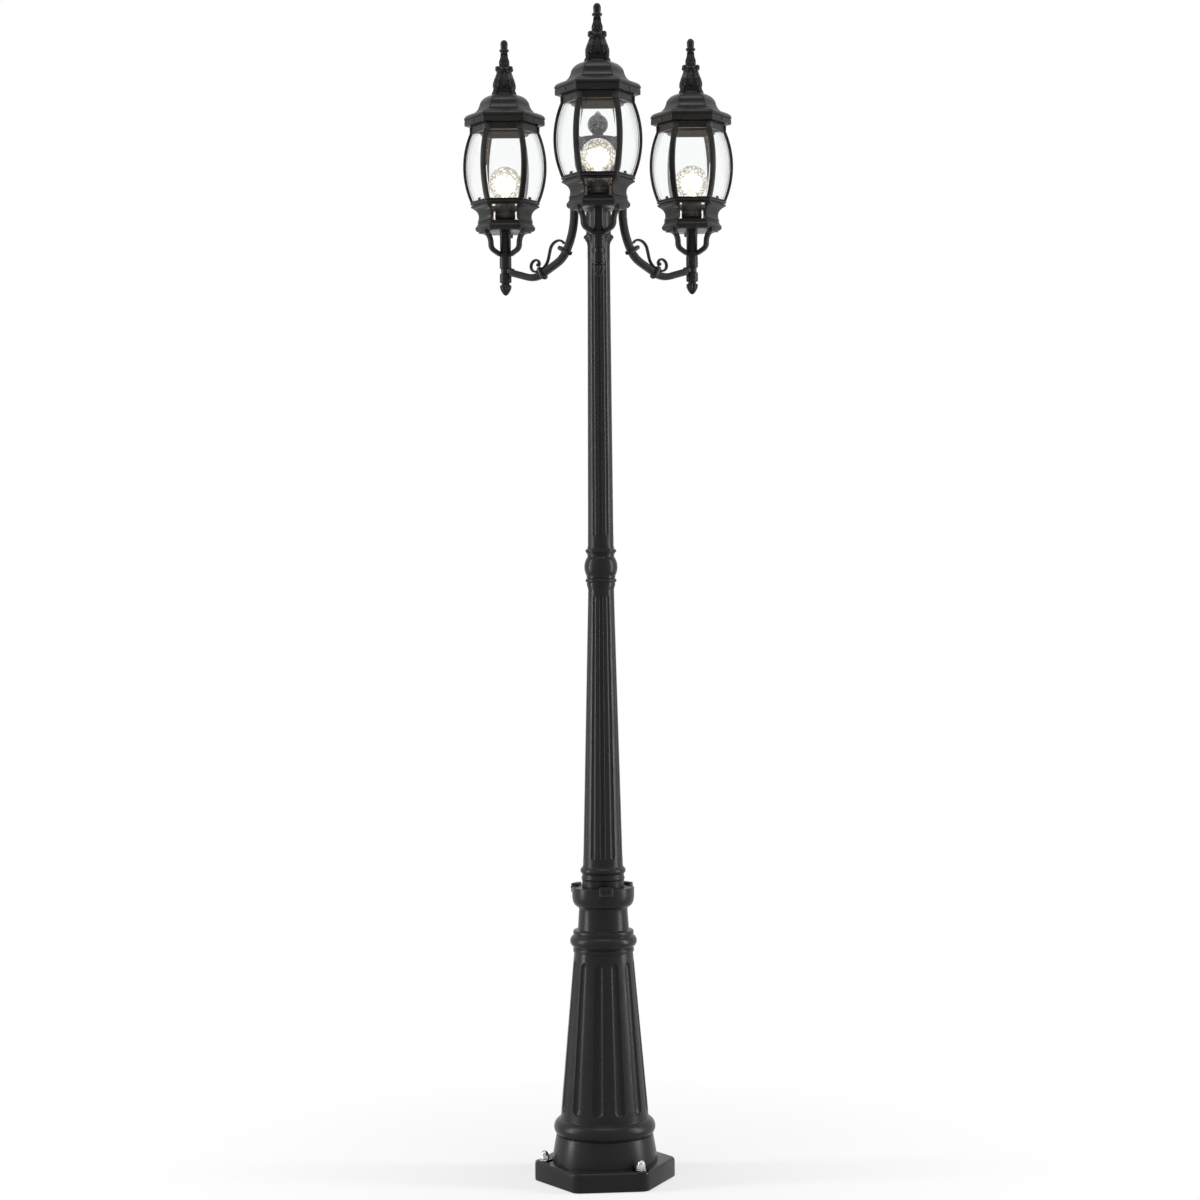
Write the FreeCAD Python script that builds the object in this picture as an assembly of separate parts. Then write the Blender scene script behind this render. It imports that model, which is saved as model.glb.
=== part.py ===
"""Garden lamp post with three lanterns on curled arms round one fluted pole.

Millimetres, +Z up. The origin is on the ground, on the axis of the pole. The front
arm reaches along -Y, and the other two stand 120 degrees to each side of it.
"""

import FreeCAD, Part
import math
import os

# ---------------------------------------------------------------- driving sizes
CLEARANCE = 0.3  # between pieces that slip into each other
THIRDS = {"front": 0.0, "right": 120.0, "left": -120.0}

# foot and column, one casting
BASE_TURN = 5.6  # the foot is bolted down a little out of line with the arms
FOOT_CORNER = 143.0
FOOT_HEIGHT = 38.0
FOOT_EDGE = 3.0
BOLT_CIRCLE = 242.0
BOLT_HOLE_RADIUS = 6.0
BELL_FOOT_RADIUS = 105.6
BASE_BEAD_HEIGHT = 104.8
BASE_BEAD_RADIUS = 83.3
BASE_BEAD_SIZE = 18.0
COLUMN_FOOT_RADIUS = 88.0
COLUMN_TOP_HEIGHT = 453.0
COLUMN_TOP_RADIUS = 58.9
COLUMN_WALL = 9.0
COLUMN_RING_STEP = 1.6
SMALL_BEAD_RADIUS = 60.4
FLUTES = 12
COLUMN_FLUTE_LOW = 137.0
COLUMN_FLUTE_HIGH = COLUMN_TOP_HEIGHT - 16.0
COLUMN_FLUTE_WIDTH = 23.0  # at the foot of the column
COLUMN_FLUTE_DEPTH = 5.0
COLLAR_BEAD_HEIGHT = COLUMN_TOP_HEIGHT + 22.0
COLLAR_BEAD_RADIUS = 53.8
COLLAR_BEAD_SIZE = 13.0
NECK_FOOT_RADIUS = 51.0
NECK_TOP_RADIUS = 48.5
NECK_FOOT_HEIGHT = COLLAR_BEAD_HEIGHT + 23.0
NECK_TOP_HEIGHT = NECK_FOOT_HEIGHT + 41.0
CUP_RADIUS = 62.0
CUP_FLOOR_HEIGHT = NECK_TOP_HEIGHT + 14.0
CUP_TOP_HEIGHT = NECK_TOP_HEIGHT + 43.0
LUG_WIDTH = 27.0
LUG_DEPTH = 12.0
LUG_PROUD = 3.0
LUG_HEIGHT = 18.0
LUG_TOP_HEIGHT = CUP_TOP_HEIGHT + 6.0
COLLAR_SCREW_RADIUS = 3.0
COLLAR_SCREW_HEAD = 3.0
COLLAR_SCREW_SPACING = 11.0

# ground fixings
STUD_RADIUS = 5.0
NUT_ACROSS_FLATS = 17.0
NUT_HEX_HEIGHT = 9.0
NUT_HEIGHT = 18.5
NUT_BORE_DEPTH = 13.0
WASHER_RADIUS = 11.0
WASHER_THICKNESS = 2.0

# poles
POLE_FOOT_RADIUS = 41.8
POLE_SEAT = 16.8  # width of the ledge that the lower pole stands on
POLE_RING_HEIGHT = CUP_FLOOR_HEIGHT + 50.0
POLE_BEAD_HEIGHT = CUP_FLOOR_HEIGHT + 62.4
POLE_BEAD_OUT = 45.3
LOWER_TAPER_FOOT_HEIGHT = CUP_FLOOR_HEIGHT + 74.0
LOWER_TAPER_FOOT_RADIUS = 39.8
LOWER_TAPER_TOP_HEIGHT = LOWER_TAPER_FOOT_HEIGHT + 549.0
LOWER_TAPER_TOP_RADIUS = 25.95
POLE_FLUTE_WIDTH = 11.0  # at the foot of the lower pole
POLE_FLUTE_DEPTH = 2.2
POLE_FLUTE_RUN = 18.0  # length over which a flute of a pole runs out
UPPER_FLUTE_SHARE = 0.65  # flutes of the upper pole, over those of the lower
POLE_JOINT_HEIGHT = LOWER_TAPER_TOP_HEIGHT + 87.0
POLE_JOINT_RADIUS = 26.2
POLE_WALL = 6.5  # of the lower pole, between its flutes
SPIGOT_RADIUS = 20.0
SPIGOT_LENGTH = 60.0
CABLE_WAY_RADIUS = 15.0  # in the upper pole and the floor of the hub
UPPER_TAPER_FOOT_RADIUS = 25.8
UPPER_TAPER_TOP_HEIGHT = POLE_JOINT_HEIGHT + 600.0
UPPER_TAPER_TOP_RADIUS = 22.5
UPPER_RING_RADIUS = 30.0
HUB_SEAT_HEIGHT = UPPER_TAPER_TOP_HEIGHT + 70.0
HUB_SEAT_RADIUS = 25.0

# hub
HUB_RADIUS = 41.0
HUB_WALL = 8.0
HUB_WALL_HEIGHT = HUB_SEAT_HEIGHT + 17.0
HUB_TOP_HEIGHT = HUB_WALL_HEIGHT + 129.0
KNOB_NECK_RADIUS = 11.0
KNOB_RADIUS = 20.5
KNOB_HEIGHT = HUB_TOP_HEIGHT + 27.0

# arms
REACH = 220.0  # from the pole to the axis of a lantern
BAR = 14.0  # side of the square bar
ARM_ROOT_HEIGHT = HUB_WALL_HEIGHT + 35.0
ARM_FALL = 163.0  # from its root to the foot of the eye that carries the lantern
ARM_DROP = 56.0  # from the pole to the upright stretch of the bar
SCROLL_WIDTH = 8.0
SCROLL_THICKNESS = 4.5
CLIP_LENGTH = 8.0
CLIP_WALL = 2.5

# lantern, heights above the ground
SLEEVE_RADIUS = 12.1
SLEEVE_BORE_RADIUS = 5.2
NIPPLE_RADIUS = 4.9
NIPPLE_GRIP = 12.0  # length of the nipple in the drop finial
EYE_LOW_HEIGHT = ARM_ROOT_HEIGHT - ARM_FALL
EYE_HIGH_HEIGHT = EYE_LOW_HEIGHT + 10.0
DROP_TIP_HEIGHT = EYE_LOW_HEIGHT - 45.0
DROP_TOP_HEIGHT = EYE_LOW_HEIGHT - 24.0
LOWER_SLEEVE_HEIGHT = EYE_LOW_HEIGHT - 19.0
EYE_RADIUS = 9.5
SLEEVE_TOP_HEIGHT = EYE_HIGH_HEIGHT + 26.0
LEG_RING_TOP_HEIGHT = SLEEVE_TOP_HEIGHT + 5.0
LEG_RING_RADIUS = 15.0
STEM_RADIUS = 11.3
GALLERY_FOOT_HEIGHT = LEG_RING_TOP_HEIGHT + 46.0
GALLERY_FLOOR = 4.0
GALLERY_TOP_HEIGHT = GALLERY_FOOT_HEIGHT + 53.0
GALLERY_WAIST = 54.0
GALLERY_WALL = 4.0
WINDOW_LOW_HEIGHT = GALLERY_FOOT_HEIGHT + 17.0
WINDOW_HIGH_HEIGHT = GALLERY_FOOT_HEIGHT + 48.0
WINDOW_WIDTH = 51.0
LEG_RADIAL = 7.5
LEG_WIDTH = 9.5
RIM_TOP_HEIGHT = GALLERY_TOP_HEIGHT + 7.0
RIM_CORNER = 72.0
CAGE_BELLY_HEIGHT = RIM_TOP_HEIGHT + 71.0
CAGE_BELLY_CORNER = 86.0
CAGE_TOP_HEIGHT = RIM_TOP_HEIGHT + 139.0
RIB_WIDTH = 11.5
RIB_DEPTH = 6.0
RIB_FOOT_CORNER = 71.0
RING_INNER = 61.5
GLASS_THICKNESS = 2.5
RING_TOP_HEIGHT = CAGE_TOP_HEIGHT + 15.0
RING_CORNER = 70.8
COLLAR_TOP_HEIGHT = RING_TOP_HEIGHT + 13.0
COLLAR_CORNER = 67.0
HOLDER_FOOT_HEIGHT = GALLERY_FOOT_HEIGHT + 22.0
HOLDER_TOP_HEIGHT = HOLDER_FOOT_HEIGHT + 34.0
HOLDER_RADIUS = 20.7
CAP_RADIUS = 13.0
CAP_FOOT_HEIGHT = HOLDER_FOOT_HEIGHT + 3.0
CAP_TOP_HEIGHT = CAP_FOOT_HEIGHT + 25.0
BULB_RADIUS = 33.0
BULB_TOP_HEIGHT = CAP_TOP_HEIGHT + 82.0
BRIM_CORNER = 84.0
BRIM_HEIGHT = RING_TOP_HEIGHT + 10.0
BRIM_TOP_HEIGHT = BRIM_HEIGHT + 16.0
ROOF_TOP_HEIGHT = BRIM_TOP_HEIGHT + 39.0
ROOF_WALL = 4.0
ROOF_SCREW_RADIUS = 3.5
ROOF_SCREW_HEAD = 2.0
SPIRE_HEIGHT = 112.0

# how finely round forms are drawn
BASE_SIDES = 24
POLE_SIDES = 18
HUB_SIDES = 24  # a multiple of 12 puts a flat behind each arm
SMALL_SIDES = 14
SLEEVE_SIDES = 12
BORE_SIDES = 10
SCREW_SIDES = 6
BARREL_STEPS = 5  # in the height of a rib or a pane
ARC_STEP = 30.0  # degrees of a bend between two corners of a bar

FLAT = math.cos(math.radians(30.0))  # flat radius of a hexagon over its corner radius
UP = FreeCAD.Vector(0, 0, 1)
ORIGIN = FreeCAD.Vector(0, 0, 0)


# ---------------------------------------------------------------- shared shapes
# Outlines are (radius, height) points. Round forms are many-sided rings of flat faces,
# so that the whole post stays light to draw. Radii are measured at the corners.
def arc(start, middle, end, steps):
    """Points on the arc from start, left out, through middle to end."""
    (ax, az), (bx, bz), (cx, cz) = start, middle, end
    d = 2.0 * (ax * (bz - cz) + bx * (cz - az) + cx * (az - bz))
    a2, b2, c2 = ax * ax + az * az, bx * bx + bz * bz, cx * cx + cz * cz
    ox = (a2 * (bz - cz) + b2 * (cz - az) + c2 * (az - bz)) / d
    oz = (a2 * (cx - bx) + b2 * (ax - cx) + c2 * (bx - ax)) / d
    radius = math.hypot(ax - ox, az - oz)
    first = math.atan2(az - oz, ax - ox)
    half = math.remainder(math.atan2(bz - oz, bx - ox) - first, 2.0 * math.pi)
    rest = math.remainder(math.atan2(cz - oz, cx - ox) - first - half, 2.0 * math.pi)
    points = []
    for i in range(1, steps + 1):
        angle = first + (half + rest) * i / steps
        points.append((ox + radius * math.cos(angle), oz + radius * math.sin(angle)))
    return points


def bead(height, radius, size, low, high, steps):
    """Points on a round moulding, from angle low to high above the horizontal."""
    points = []
    for i in range(steps + 1):
        angle = math.radians(low + (high - low) * i / steps)
        points.append((radius + size * math.cos(angle), height + size * math.sin(angle)))
    return points


def spot(radius, degrees, height):
    angle = math.radians(degrees)
    return FreeCAD.Vector(radius * math.cos(angle), radius * math.sin(angle), height)


def flat_faces(corners):
    """One face where the corners lie in a plane, and else two."""
    kept = []
    for corner in corners:
        if not any(corner.isEqual(other, 1e-6) for other in kept):
            kept.append(corner)
    if len(kept) < 3:
        return []
    if len(kept) == 4:
        normal = (kept[1] - kept[0]).cross(kept[2] - kept[0])
        if abs(normal.normalize().dot(kept[3] - kept[0])) > 1e-6:
            return flat_faces(kept[:3]) + flat_faces([kept[0], kept[2], kept[3]])
    return [Part.Face(Part.makePolygon(kept + [kept[0]]))]


def skinned(rings, closed=True):
    """Solid between rings of as many points. It closes on itself, or has two end faces."""
    faces = []
    pairs = zip(rings, rings[1:] + rings[:1]) if closed else zip(rings, rings[1:])
    for low, high in pairs:
        for i in range(len(low)):
            j = (i + 1) % len(low)
            faces += flat_faces([low[i], low[j], high[j], high[i]])
    if not closed:
        faces += [Part.Face(Part.makePolygon(end + [end[0]])) for end in (rings[0], rings[-1])]
    solid = Part.Solid(Part.Shell(faces))
    if solid.Volume < 0:
        solid.reverse()
    return solid


def turned(outline, sides, turn=0.0):
    return skinned([[spot(radius, turn + 360.0 * i / sides, height) for i in range(sides)]
                    for radius, height in outline])


def six_sided(outline):
    """Hexagonal ring or body with a flat to the front."""
    return turned(outline, 6)


def slab(outline, thickness):
    """Plate of the outline, half its thickness to each side of the XZ plane."""
    corners = [FreeCAD.Vector(x, -thickness / 2.0, z) for x, z in outline]
    face = Part.Face(Part.makePolygon(corners + [corners[0]]))
    return face.extrude(FreeCAD.Vector(0, thickness, 0))


def spun(shape, angle):
    copy = shape.copy()
    copy.rotate(ORIGIN, UP, angle)
    return copy


def joined(shapes):
    whole = shapes[0].fuse(shapes[1:]) if len(shapes) > 1 else shapes[0]
    return whole.removeSplitter()


def flat_angles(which=range(6)):
    """Directions of the flats of a lantern. The first one faces the front."""
    return [60.0 * i - 90.0 for i in which]


LEG_FLATS = (1, 3, 5)  # the roof screws stand above the same flats
WINDOW_FLATS = (0, 3)


def outward(shape, direction, distance, height):
    """A shape made along +Z, laid to point outward in the given direction."""
    copy = shape.copy()
    copy.rotate(ORIGIN, FreeCAD.Vector(0, 1, 0), 90)
    copy.translate(FreeCAD.Vector(distance, 0, height))
    return spun(copy, direction)


def fluted_column(foot, top, low, high, run, width, depth, first):
    """Tapered column from foot to top, both (radius, height), with scooped flutes.

    Each flute reaches its full width and depth a run inside low and high.
    """
    taper = (foot[0] - top[0]) / (top[1] - foot[1])
    half_angle = math.degrees(width / 2.0 / foot[0])

    def section(height, opening, sinking):
        radius = foot[0] - taper * (height - foot[1])
        inset = depth * radius / foot[0] * sinking
        points = []
        for i in range(FLUTES):
            middle = first + 360.0 * i / FLUTES
            for share, drop in ((-1, 0), (-0.5, 1), (0.5, 1), (1, 0)):
                angle = middle + share * half_angle * opening
                points.append(spot(radius - inset * drop, angle, height))
        return points

    rings = [section(foot[1], 0.5, 0)]
    if low > foot[1]:
        rings.append(section(low, 0.5, 0))
    rings += [section(low + run, 1, 1), section(high - run, 1, 1)]
    if high < top[1]:
        rings.append(section(high, 0.5, 0))
    rings.append(section(top[1], 0.5, 0))
    return skinned(rings, closed=False)


class Path:
    """Line of arcs, each tangent to the last, in a plane of reach and height."""

    def __init__(self, start, direction):
        self.points = [start]
        self.headings = [math.radians(direction)]

    def to(self, *points):
        for point in points:
            last, heading = self.points[-1], self.headings[-1]
            chord = math.atan2(point[1] - last[1], point[0] - last[0])
            turn = math.remainder(chord - heading, 2.0 * math.pi)
            self.points.append(point)
            self.headings.append(heading + 2.0 * turn)
        return self

    def side(self, offset):
        """Points along the path, moved sideways to its left."""
        places = []
        for i, start in enumerate(self.points[:-1]):
            end = self.points[i + 1]
            heading, turn = self.headings[i], self.headings[i + 1] - self.headings[i]
            steps = max(1, round(abs(math.degrees(turn)) / ARC_STEP))
            chord = math.hypot(end[0] - start[0], end[1] - start[1])
            for k in range(steps + (end == self.points[-1])):
                part_turn = turn * k / steps
                if abs(turn) < 1e-6:
                    reach = chord * k / steps
                else:
                    reach = chord * math.sin(part_turn / 2.0) / math.sin(turn / 2.0)
                x = start[0] + reach * math.cos(heading + part_turn / 2.0)
                z = start[1] + reach * math.sin(heading + part_turn / 2.0)
                there = heading + part_turn
                places.append((x - offset * math.sin(there), z + offset * math.cos(there)))
        return places

    def bar(self, depth, width):
        """Bar along the path: depth in its plane, width across it."""
        return slab(self.side(depth / 2.0) + self.side(-depth / 2.0)[::-1], width)


# ---------------------------------------------------------------- post
def base_casting():
    lower = [(0, 0), (BELL_FOOT_RADIUS, 0), (BELL_FOOT_RADIUS, FOOT_HEIGHT)]
    lower += bead(BASE_BEAD_HEIGHT, BASE_BEAD_RADIUS, BASE_BEAD_SIZE, -52, 70, 4)
    lower += [(0, lower[-1][1])]
    foot_height = lower[-1][1]
    column = fluted_column(
        (COLUMN_FOOT_RADIUS, foot_height), (COLUMN_TOP_RADIUS, COLUMN_TOP_HEIGHT),
        COLUMN_FLUTE_LOW, COLUMN_FLUTE_HIGH, COLUMN_FLUTE_WIDTH / 2.0,
        COLUMN_FLUTE_WIDTH, COLUMN_FLUTE_DEPTH, -75)
    ring = COLUMN_TOP_RADIUS + COLUMN_RING_STEP
    upper = [(0, COLUMN_TOP_HEIGHT), (ring, COLUMN_TOP_HEIGHT), (ring, COLUMN_TOP_HEIGHT + 8)]
    upper += bead(COLLAR_BEAD_HEIGHT, COLLAR_BEAD_RADIUS, COLLAR_BEAD_SIZE, -66, 66, 3)
    upper += [
        (SMALL_BEAD_RADIUS, NECK_FOOT_HEIGHT - 8), (SMALL_BEAD_RADIUS, NECK_FOOT_HEIGHT - 3),
        (NECK_FOOT_RADIUS, NECK_FOOT_HEIGHT), (NECK_TOP_RADIUS, NECK_TOP_HEIGHT),
        (CUP_RADIUS - 3, NECK_TOP_HEIGHT + 10), (CUP_RADIUS, NECK_TOP_HEIGHT + 22),
        (CUP_RADIUS, CUP_TOP_HEIGHT), (0, CUP_TOP_HEIGHT),
    ]
    foot = six_sided([
        (0, 0), (FOOT_CORNER, 0), (FOOT_CORNER, FOOT_HEIGHT - FOOT_EDGE),
        (FOOT_CORNER - FOOT_EDGE, FOOT_HEIGHT), (0, FOOT_HEIGHT),
    ])
    lug = Part.makeBox(LUG_DEPTH, LUG_WIDTH, LUG_HEIGHT)
    lug.translate(FreeCAD.Vector(CUP_RADIUS + LUG_PROUD - LUG_DEPTH, -LUG_WIDTH / 2.0,
                                 LUG_TOP_HEIGHT - LUG_HEIGHT))
    lugs = [spun(lug, angle) for angle in LUG_ANGLES]
    whole = joined([turned(lower, BASE_SIDES), column, turned(upper, BASE_SIDES), foot] + lugs)

    wall_foot = COLUMN_FOOT_RADIUS - COLUMN_WALL
    wall_top = COLUMN_TOP_RADIUS - COLUMN_WALL
    way = POLE_FOOT_RADIUS - POLE_SEAT
    seat = POLE_FOOT_RADIUS + CLEARANCE
    hollow = turned([
        (0, -1), (wall_foot, -1), (wall_foot, foot_height), (wall_top, COLUMN_TOP_HEIGHT),
        (way, COLUMN_TOP_HEIGHT + 12), (way, CUP_FLOOR_HEIGHT + 1), (0, CUP_FLOOR_HEIGHT + 1),
    ], BORE_SIDES)
    pole_seat = turned([
        (0, CUP_FLOOR_HEIGHT), (seat, CUP_FLOOR_HEIGHT),
        (seat, LUG_TOP_HEIGHT + 1), (0, LUG_TOP_HEIGHT + 1),
    ], POLE_SIDES, -BASE_TURN)
    bolt_hole = Part.makeCylinder(BOLT_HOLE_RADIUS, FOOT_HEIGHT)
    return whole.cut([hollow, pole_seat] + at_bolts(bolt_hole, 0))


BOLT_ANGLES = (-180.0, -60.0, 60.0)
LUG_ANGLES = (-90.0, 30.0, 150.0)


def at_bolts(shape, height):
    lifted = shape.translated(FreeCAD.Vector(BOLT_CIRCLE / 2.0, 0, height))
    return [spun(lifted, angle) for angle in BOLT_ANGLES]


def collar_screws():
    """Two screws in each lug of the cup."""
    screw = turned([(0, 0), (COLLAR_SCREW_RADIUS, 0), (COLLAR_SCREW_RADIUS, COLLAR_SCREW_HEAD),
                    (0, COLLAR_SCREW_HEAD)], SCREW_SIDES)
    screws = []
    for angle in LUG_ANGLES:
        for side in (-COLLAR_SCREW_SPACING / 2.0, COLLAR_SCREW_SPACING / 2.0):
            placed = outward(screw, 0, CUP_RADIUS + LUG_PROUD, LUG_TOP_HEIGHT - LUG_HEIGHT / 2.0)
            screws.append(spun(placed.translated(FreeCAD.Vector(0, side, 0)), angle))
    return screws


def anchor_washers():
    bore = STUD_RADIUS + CLEARANCE
    washer = turned([(bore, 0), (WASHER_RADIUS, 0), (WASHER_RADIUS, WASHER_THICKNESS),
                     (bore, WASHER_THICKNESS)], BORE_SIDES)
    return at_bolts(washer, FOOT_HEIGHT)


def anchor_nuts():
    body = six_sided([
        (0, 0), (NUT_ACROSS_FLATS / 2.0 / FLAT, 0),
        (NUT_ACROSS_FLATS / 2.0 / FLAT, NUT_HEX_HEIGHT), (0, NUT_HEX_HEIGHT),
    ])
    dome_radius = NUT_ACROSS_FLATS / 2.0 - 0.5
    rise = NUT_HEIGHT - NUT_HEX_HEIGHT
    dome = turned([
        (0, NUT_HEX_HEIGHT), (dome_radius, NUT_HEX_HEIGHT),
        (dome_radius * 0.87, NUT_HEX_HEIGHT + rise * 0.5),
        (dome_radius * 0.5, NUT_HEX_HEIGHT + rise * 0.87), (0, NUT_HEIGHT),
    ], BORE_SIDES)
    bore = turned([
        (0, -1), (STUD_RADIUS + CLEARANCE, -1), (STUD_RADIUS + CLEARANCE, NUT_BORE_DEPTH),
        (0, NUT_BORE_DEPTH),
    ], BORE_SIDES)
    return at_bolts(joined([body, dome]).cut(bore), FOOT_HEIGHT + WASHER_THICKNESS)


def pole_lower():
    foot = [
        (0, CUP_FLOOR_HEIGHT), (POLE_FOOT_RADIUS, CUP_FLOOR_HEIGHT),
        (POLE_FOOT_RADIUS, POLE_RING_HEIGHT),
        (POLE_BEAD_OUT - 3, POLE_BEAD_HEIGHT - 7), (POLE_BEAD_OUT, POLE_BEAD_HEIGHT - 3),
        (POLE_BEAD_OUT, POLE_BEAD_HEIGHT + 3), (POLE_BEAD_OUT - 3, POLE_BEAD_HEIGHT + 7),
        (LOWER_TAPER_FOOT_RADIUS, LOWER_TAPER_FOOT_HEIGHT), (0, LOWER_TAPER_FOOT_HEIGHT),
    ]
    taper = fluted_column(
        (LOWER_TAPER_FOOT_RADIUS, LOWER_TAPER_FOOT_HEIGHT),
        (LOWER_TAPER_TOP_RADIUS, LOWER_TAPER_TOP_HEIGHT),
        LOWER_TAPER_FOOT_HEIGHT, LOWER_TAPER_TOP_HEIGHT, POLE_FLUTE_RUN,
        POLE_FLUTE_WIDTH, POLE_FLUTE_DEPTH, -90)
    mouldings = [
        (28.8, 12.0), (31.0, 15.0), (31.0, 21.5), (28.8, 25.0), (32.3, 37.0), (33.2, 46.4),
        (31.6, 55.0), (26.9, 65.0), (26.9, 71.5), (31.0, 74.5), (31.0, 80.5),
    ]
    top = [
        (0, LOWER_TAPER_TOP_HEIGHT), (LOWER_TAPER_TOP_RADIUS + 0.5, LOWER_TAPER_TOP_HEIGHT),
        *[(radius, LOWER_TAPER_TOP_HEIGHT + rise) for radius, rise in mouldings],
        (POLE_JOINT_RADIUS, POLE_JOINT_HEIGHT), (0, POLE_JOINT_HEIGHT),
    ]
    spigot_room = SPIGOT_RADIUS + CLEARANCE
    wide = LOWER_TAPER_FOOT_RADIUS - POLE_WALL
    hollow = turned([
        (0, CUP_FLOOR_HEIGHT - 1), (wide, CUP_FLOOR_HEIGHT - 1), (wide, LOWER_TAPER_FOOT_HEIGHT),
        (LOWER_TAPER_TOP_RADIUS - POLE_WALL, LOWER_TAPER_TOP_HEIGHT),
        (spigot_room, POLE_JOINT_HEIGHT - SPIGOT_LENGTH - 2),
        (spigot_room, POLE_JOINT_HEIGHT + 1), (0, POLE_JOINT_HEIGHT + 1),
    ], BORE_SIDES)
    return joined([turned(foot, POLE_SIDES), taper, turned(top, POLE_SIDES)]).cut(hollow)


def pole_upper():
    spigot = turned([
        (0, POLE_JOINT_HEIGHT - SPIGOT_LENGTH), (SPIGOT_RADIUS, POLE_JOINT_HEIGHT - SPIGOT_LENGTH),
        (SPIGOT_RADIUS, POLE_JOINT_HEIGHT), (0, POLE_JOINT_HEIGHT),
    ], BORE_SIDES)
    taper = fluted_column(
        (UPPER_TAPER_FOOT_RADIUS, POLE_JOINT_HEIGHT),
        (UPPER_TAPER_TOP_RADIUS, UPPER_TAPER_TOP_HEIGHT),
        POLE_JOINT_HEIGHT, UPPER_TAPER_TOP_HEIGHT, POLE_FLUTE_RUN,
        POLE_FLUTE_WIDTH * UPPER_FLUTE_SHARE, POLE_FLUTE_DEPTH * UPPER_FLUTE_SHARE, -90)
    taper_end = UPPER_TAPER_TOP_HEIGHT
    top = [
        (0, taper_end), (UPPER_TAPER_TOP_RADIUS + 0.5, taper_end), (24.5, taper_end + 9),
        (UPPER_RING_RADIUS - 1, taper_end + 13.5), (UPPER_RING_RADIUS, taper_end + 17.6),
        (UPPER_RING_RADIUS - 1, taper_end + 21), (HUB_SEAT_RADIUS, taper_end + 25),
        (HUB_SEAT_RADIUS, HUB_SEAT_HEIGHT), (0, HUB_SEAT_HEIGHT),
    ]
    hollow = turned([
        (0, POLE_JOINT_HEIGHT - SPIGOT_LENGTH - 1),
        (CABLE_WAY_RADIUS, POLE_JOINT_HEIGHT - SPIGOT_LENGTH - 1),
        (CABLE_WAY_RADIUS, HUB_SEAT_HEIGHT + 1), (0, HUB_SEAT_HEIGHT + 1),
    ], BORE_SIDES)
    return joined([spigot, taper, turned(top, POLE_SIDES)]).cut(hollow)


def hub():
    can = turned([
        (0, HUB_SEAT_HEIGHT), (HUB_SEAT_RADIUS, HUB_SEAT_HEIGHT),
        (HUB_RADIUS, HUB_WALL_HEIGHT), (HUB_RADIUS, HUB_TOP_HEIGHT - 4),
        (HUB_RADIUS - 5, HUB_TOP_HEIGHT), (0, HUB_TOP_HEIGHT),
    ], HUB_SIDES, 180.0 / HUB_SIDES)
    inside = HUB_RADIUS - HUB_WALL
    hollow = turned([
        (0, HUB_SEAT_HEIGHT - 1), (CABLE_WAY_RADIUS, HUB_SEAT_HEIGHT - 1),
        (CABLE_WAY_RADIUS, HUB_SEAT_HEIGHT + HUB_WALL), (inside, HUB_WALL_HEIGHT + HUB_WALL),
        (inside, HUB_TOP_HEIGHT - HUB_WALL), (0, HUB_TOP_HEIGHT - HUB_WALL),
    ], BORE_SIDES)
    return can.cut(hollow)


def hub_knob():
    ball = bead(KNOB_HEIGHT, 0, KNOB_RADIUS, -57, 90, 5)
    return turned([(0, HUB_TOP_HEIGHT), (KNOB_NECK_RADIUS, HUB_TOP_HEIGHT)] + ball, SMALL_SIDES)


# ---------------------------------------------------------------- arms
# Each arm is made in the XZ plane, with X as the reach from the pole, and then
# turned to its place.
def arm_path():
    root = HUB_RADIUS * math.cos(math.pi / HUB_SIDES)
    bend = ARM_DROP - root
    path = Path((root, ARM_ROOT_HEIGHT), 0)
    path.to((ARM_DROP, ARM_ROOT_HEIGHT - bend))
    path.to((ARM_DROP, ARM_ROOT_HEIGHT - 50))
    eye = EYE_LOW_HEIGHT
    path.to((75.5, eye + 36), (98, eye + 13), (131, eye - 5.8), (168, eye - 10))
    return path.to((REACH - 5, eye + 3.5))


def scroll_path():
    eye = EYE_LOW_HEIGHT
    path = Path((80.5, eye + 52), 62)
    path.to((93.8, eye + 59), (113, eye + 42), (117.6, eye + 23.5), (126.5, eye + 8.5))
    path.to((135, eye + 2.9), (146, eye - 0.4), (158.8, eye + 11), (148, eye + 23))
    return path.to((139.3, eye + 16), (143.5, eye + 10.5))


def arm():
    bar = arm_path().bar(BAR, BAR)
    room = SLEEVE_RADIUS + CLEARANCE
    tall = 60.0
    below = Part.makeBox(2 * room, BAR + 2, tall, FreeCAD.Vector(REACH - room, -BAR / 2 - 1,
                                                                 EYE_LOW_HEIGHT - tall))
    above = below.translated(FreeCAD.Vector(0, 0, tall + EYE_HIGH_HEIGHT - EYE_LOW_HEIGHT))
    eye = turned([
        (0, EYE_LOW_HEIGHT), (EYE_RADIUS, EYE_LOW_HEIGHT), (EYE_RADIUS, EYE_HIGH_HEIGHT),
        (0, EYE_HIGH_HEIGHT),
    ], SLEEVE_SIDES).translate(FreeCAD.Vector(REACH, 0, 0))
    bore = turned([
        (0, EYE_LOW_HEIGHT - 1), (SLEEVE_BORE_RADIUS, EYE_LOW_HEIGHT - 1),
        (SLEEVE_BORE_RADIUS, EYE_HIGH_HEIGHT + 1), (0, EYE_HIGH_HEIGHT + 1),
    ], SLEEVE_SIDES).translate(FreeCAD.Vector(REACH, 0, 0))
    return joined([bar.cut([below, above]), eye]).cut(bore)


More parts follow.
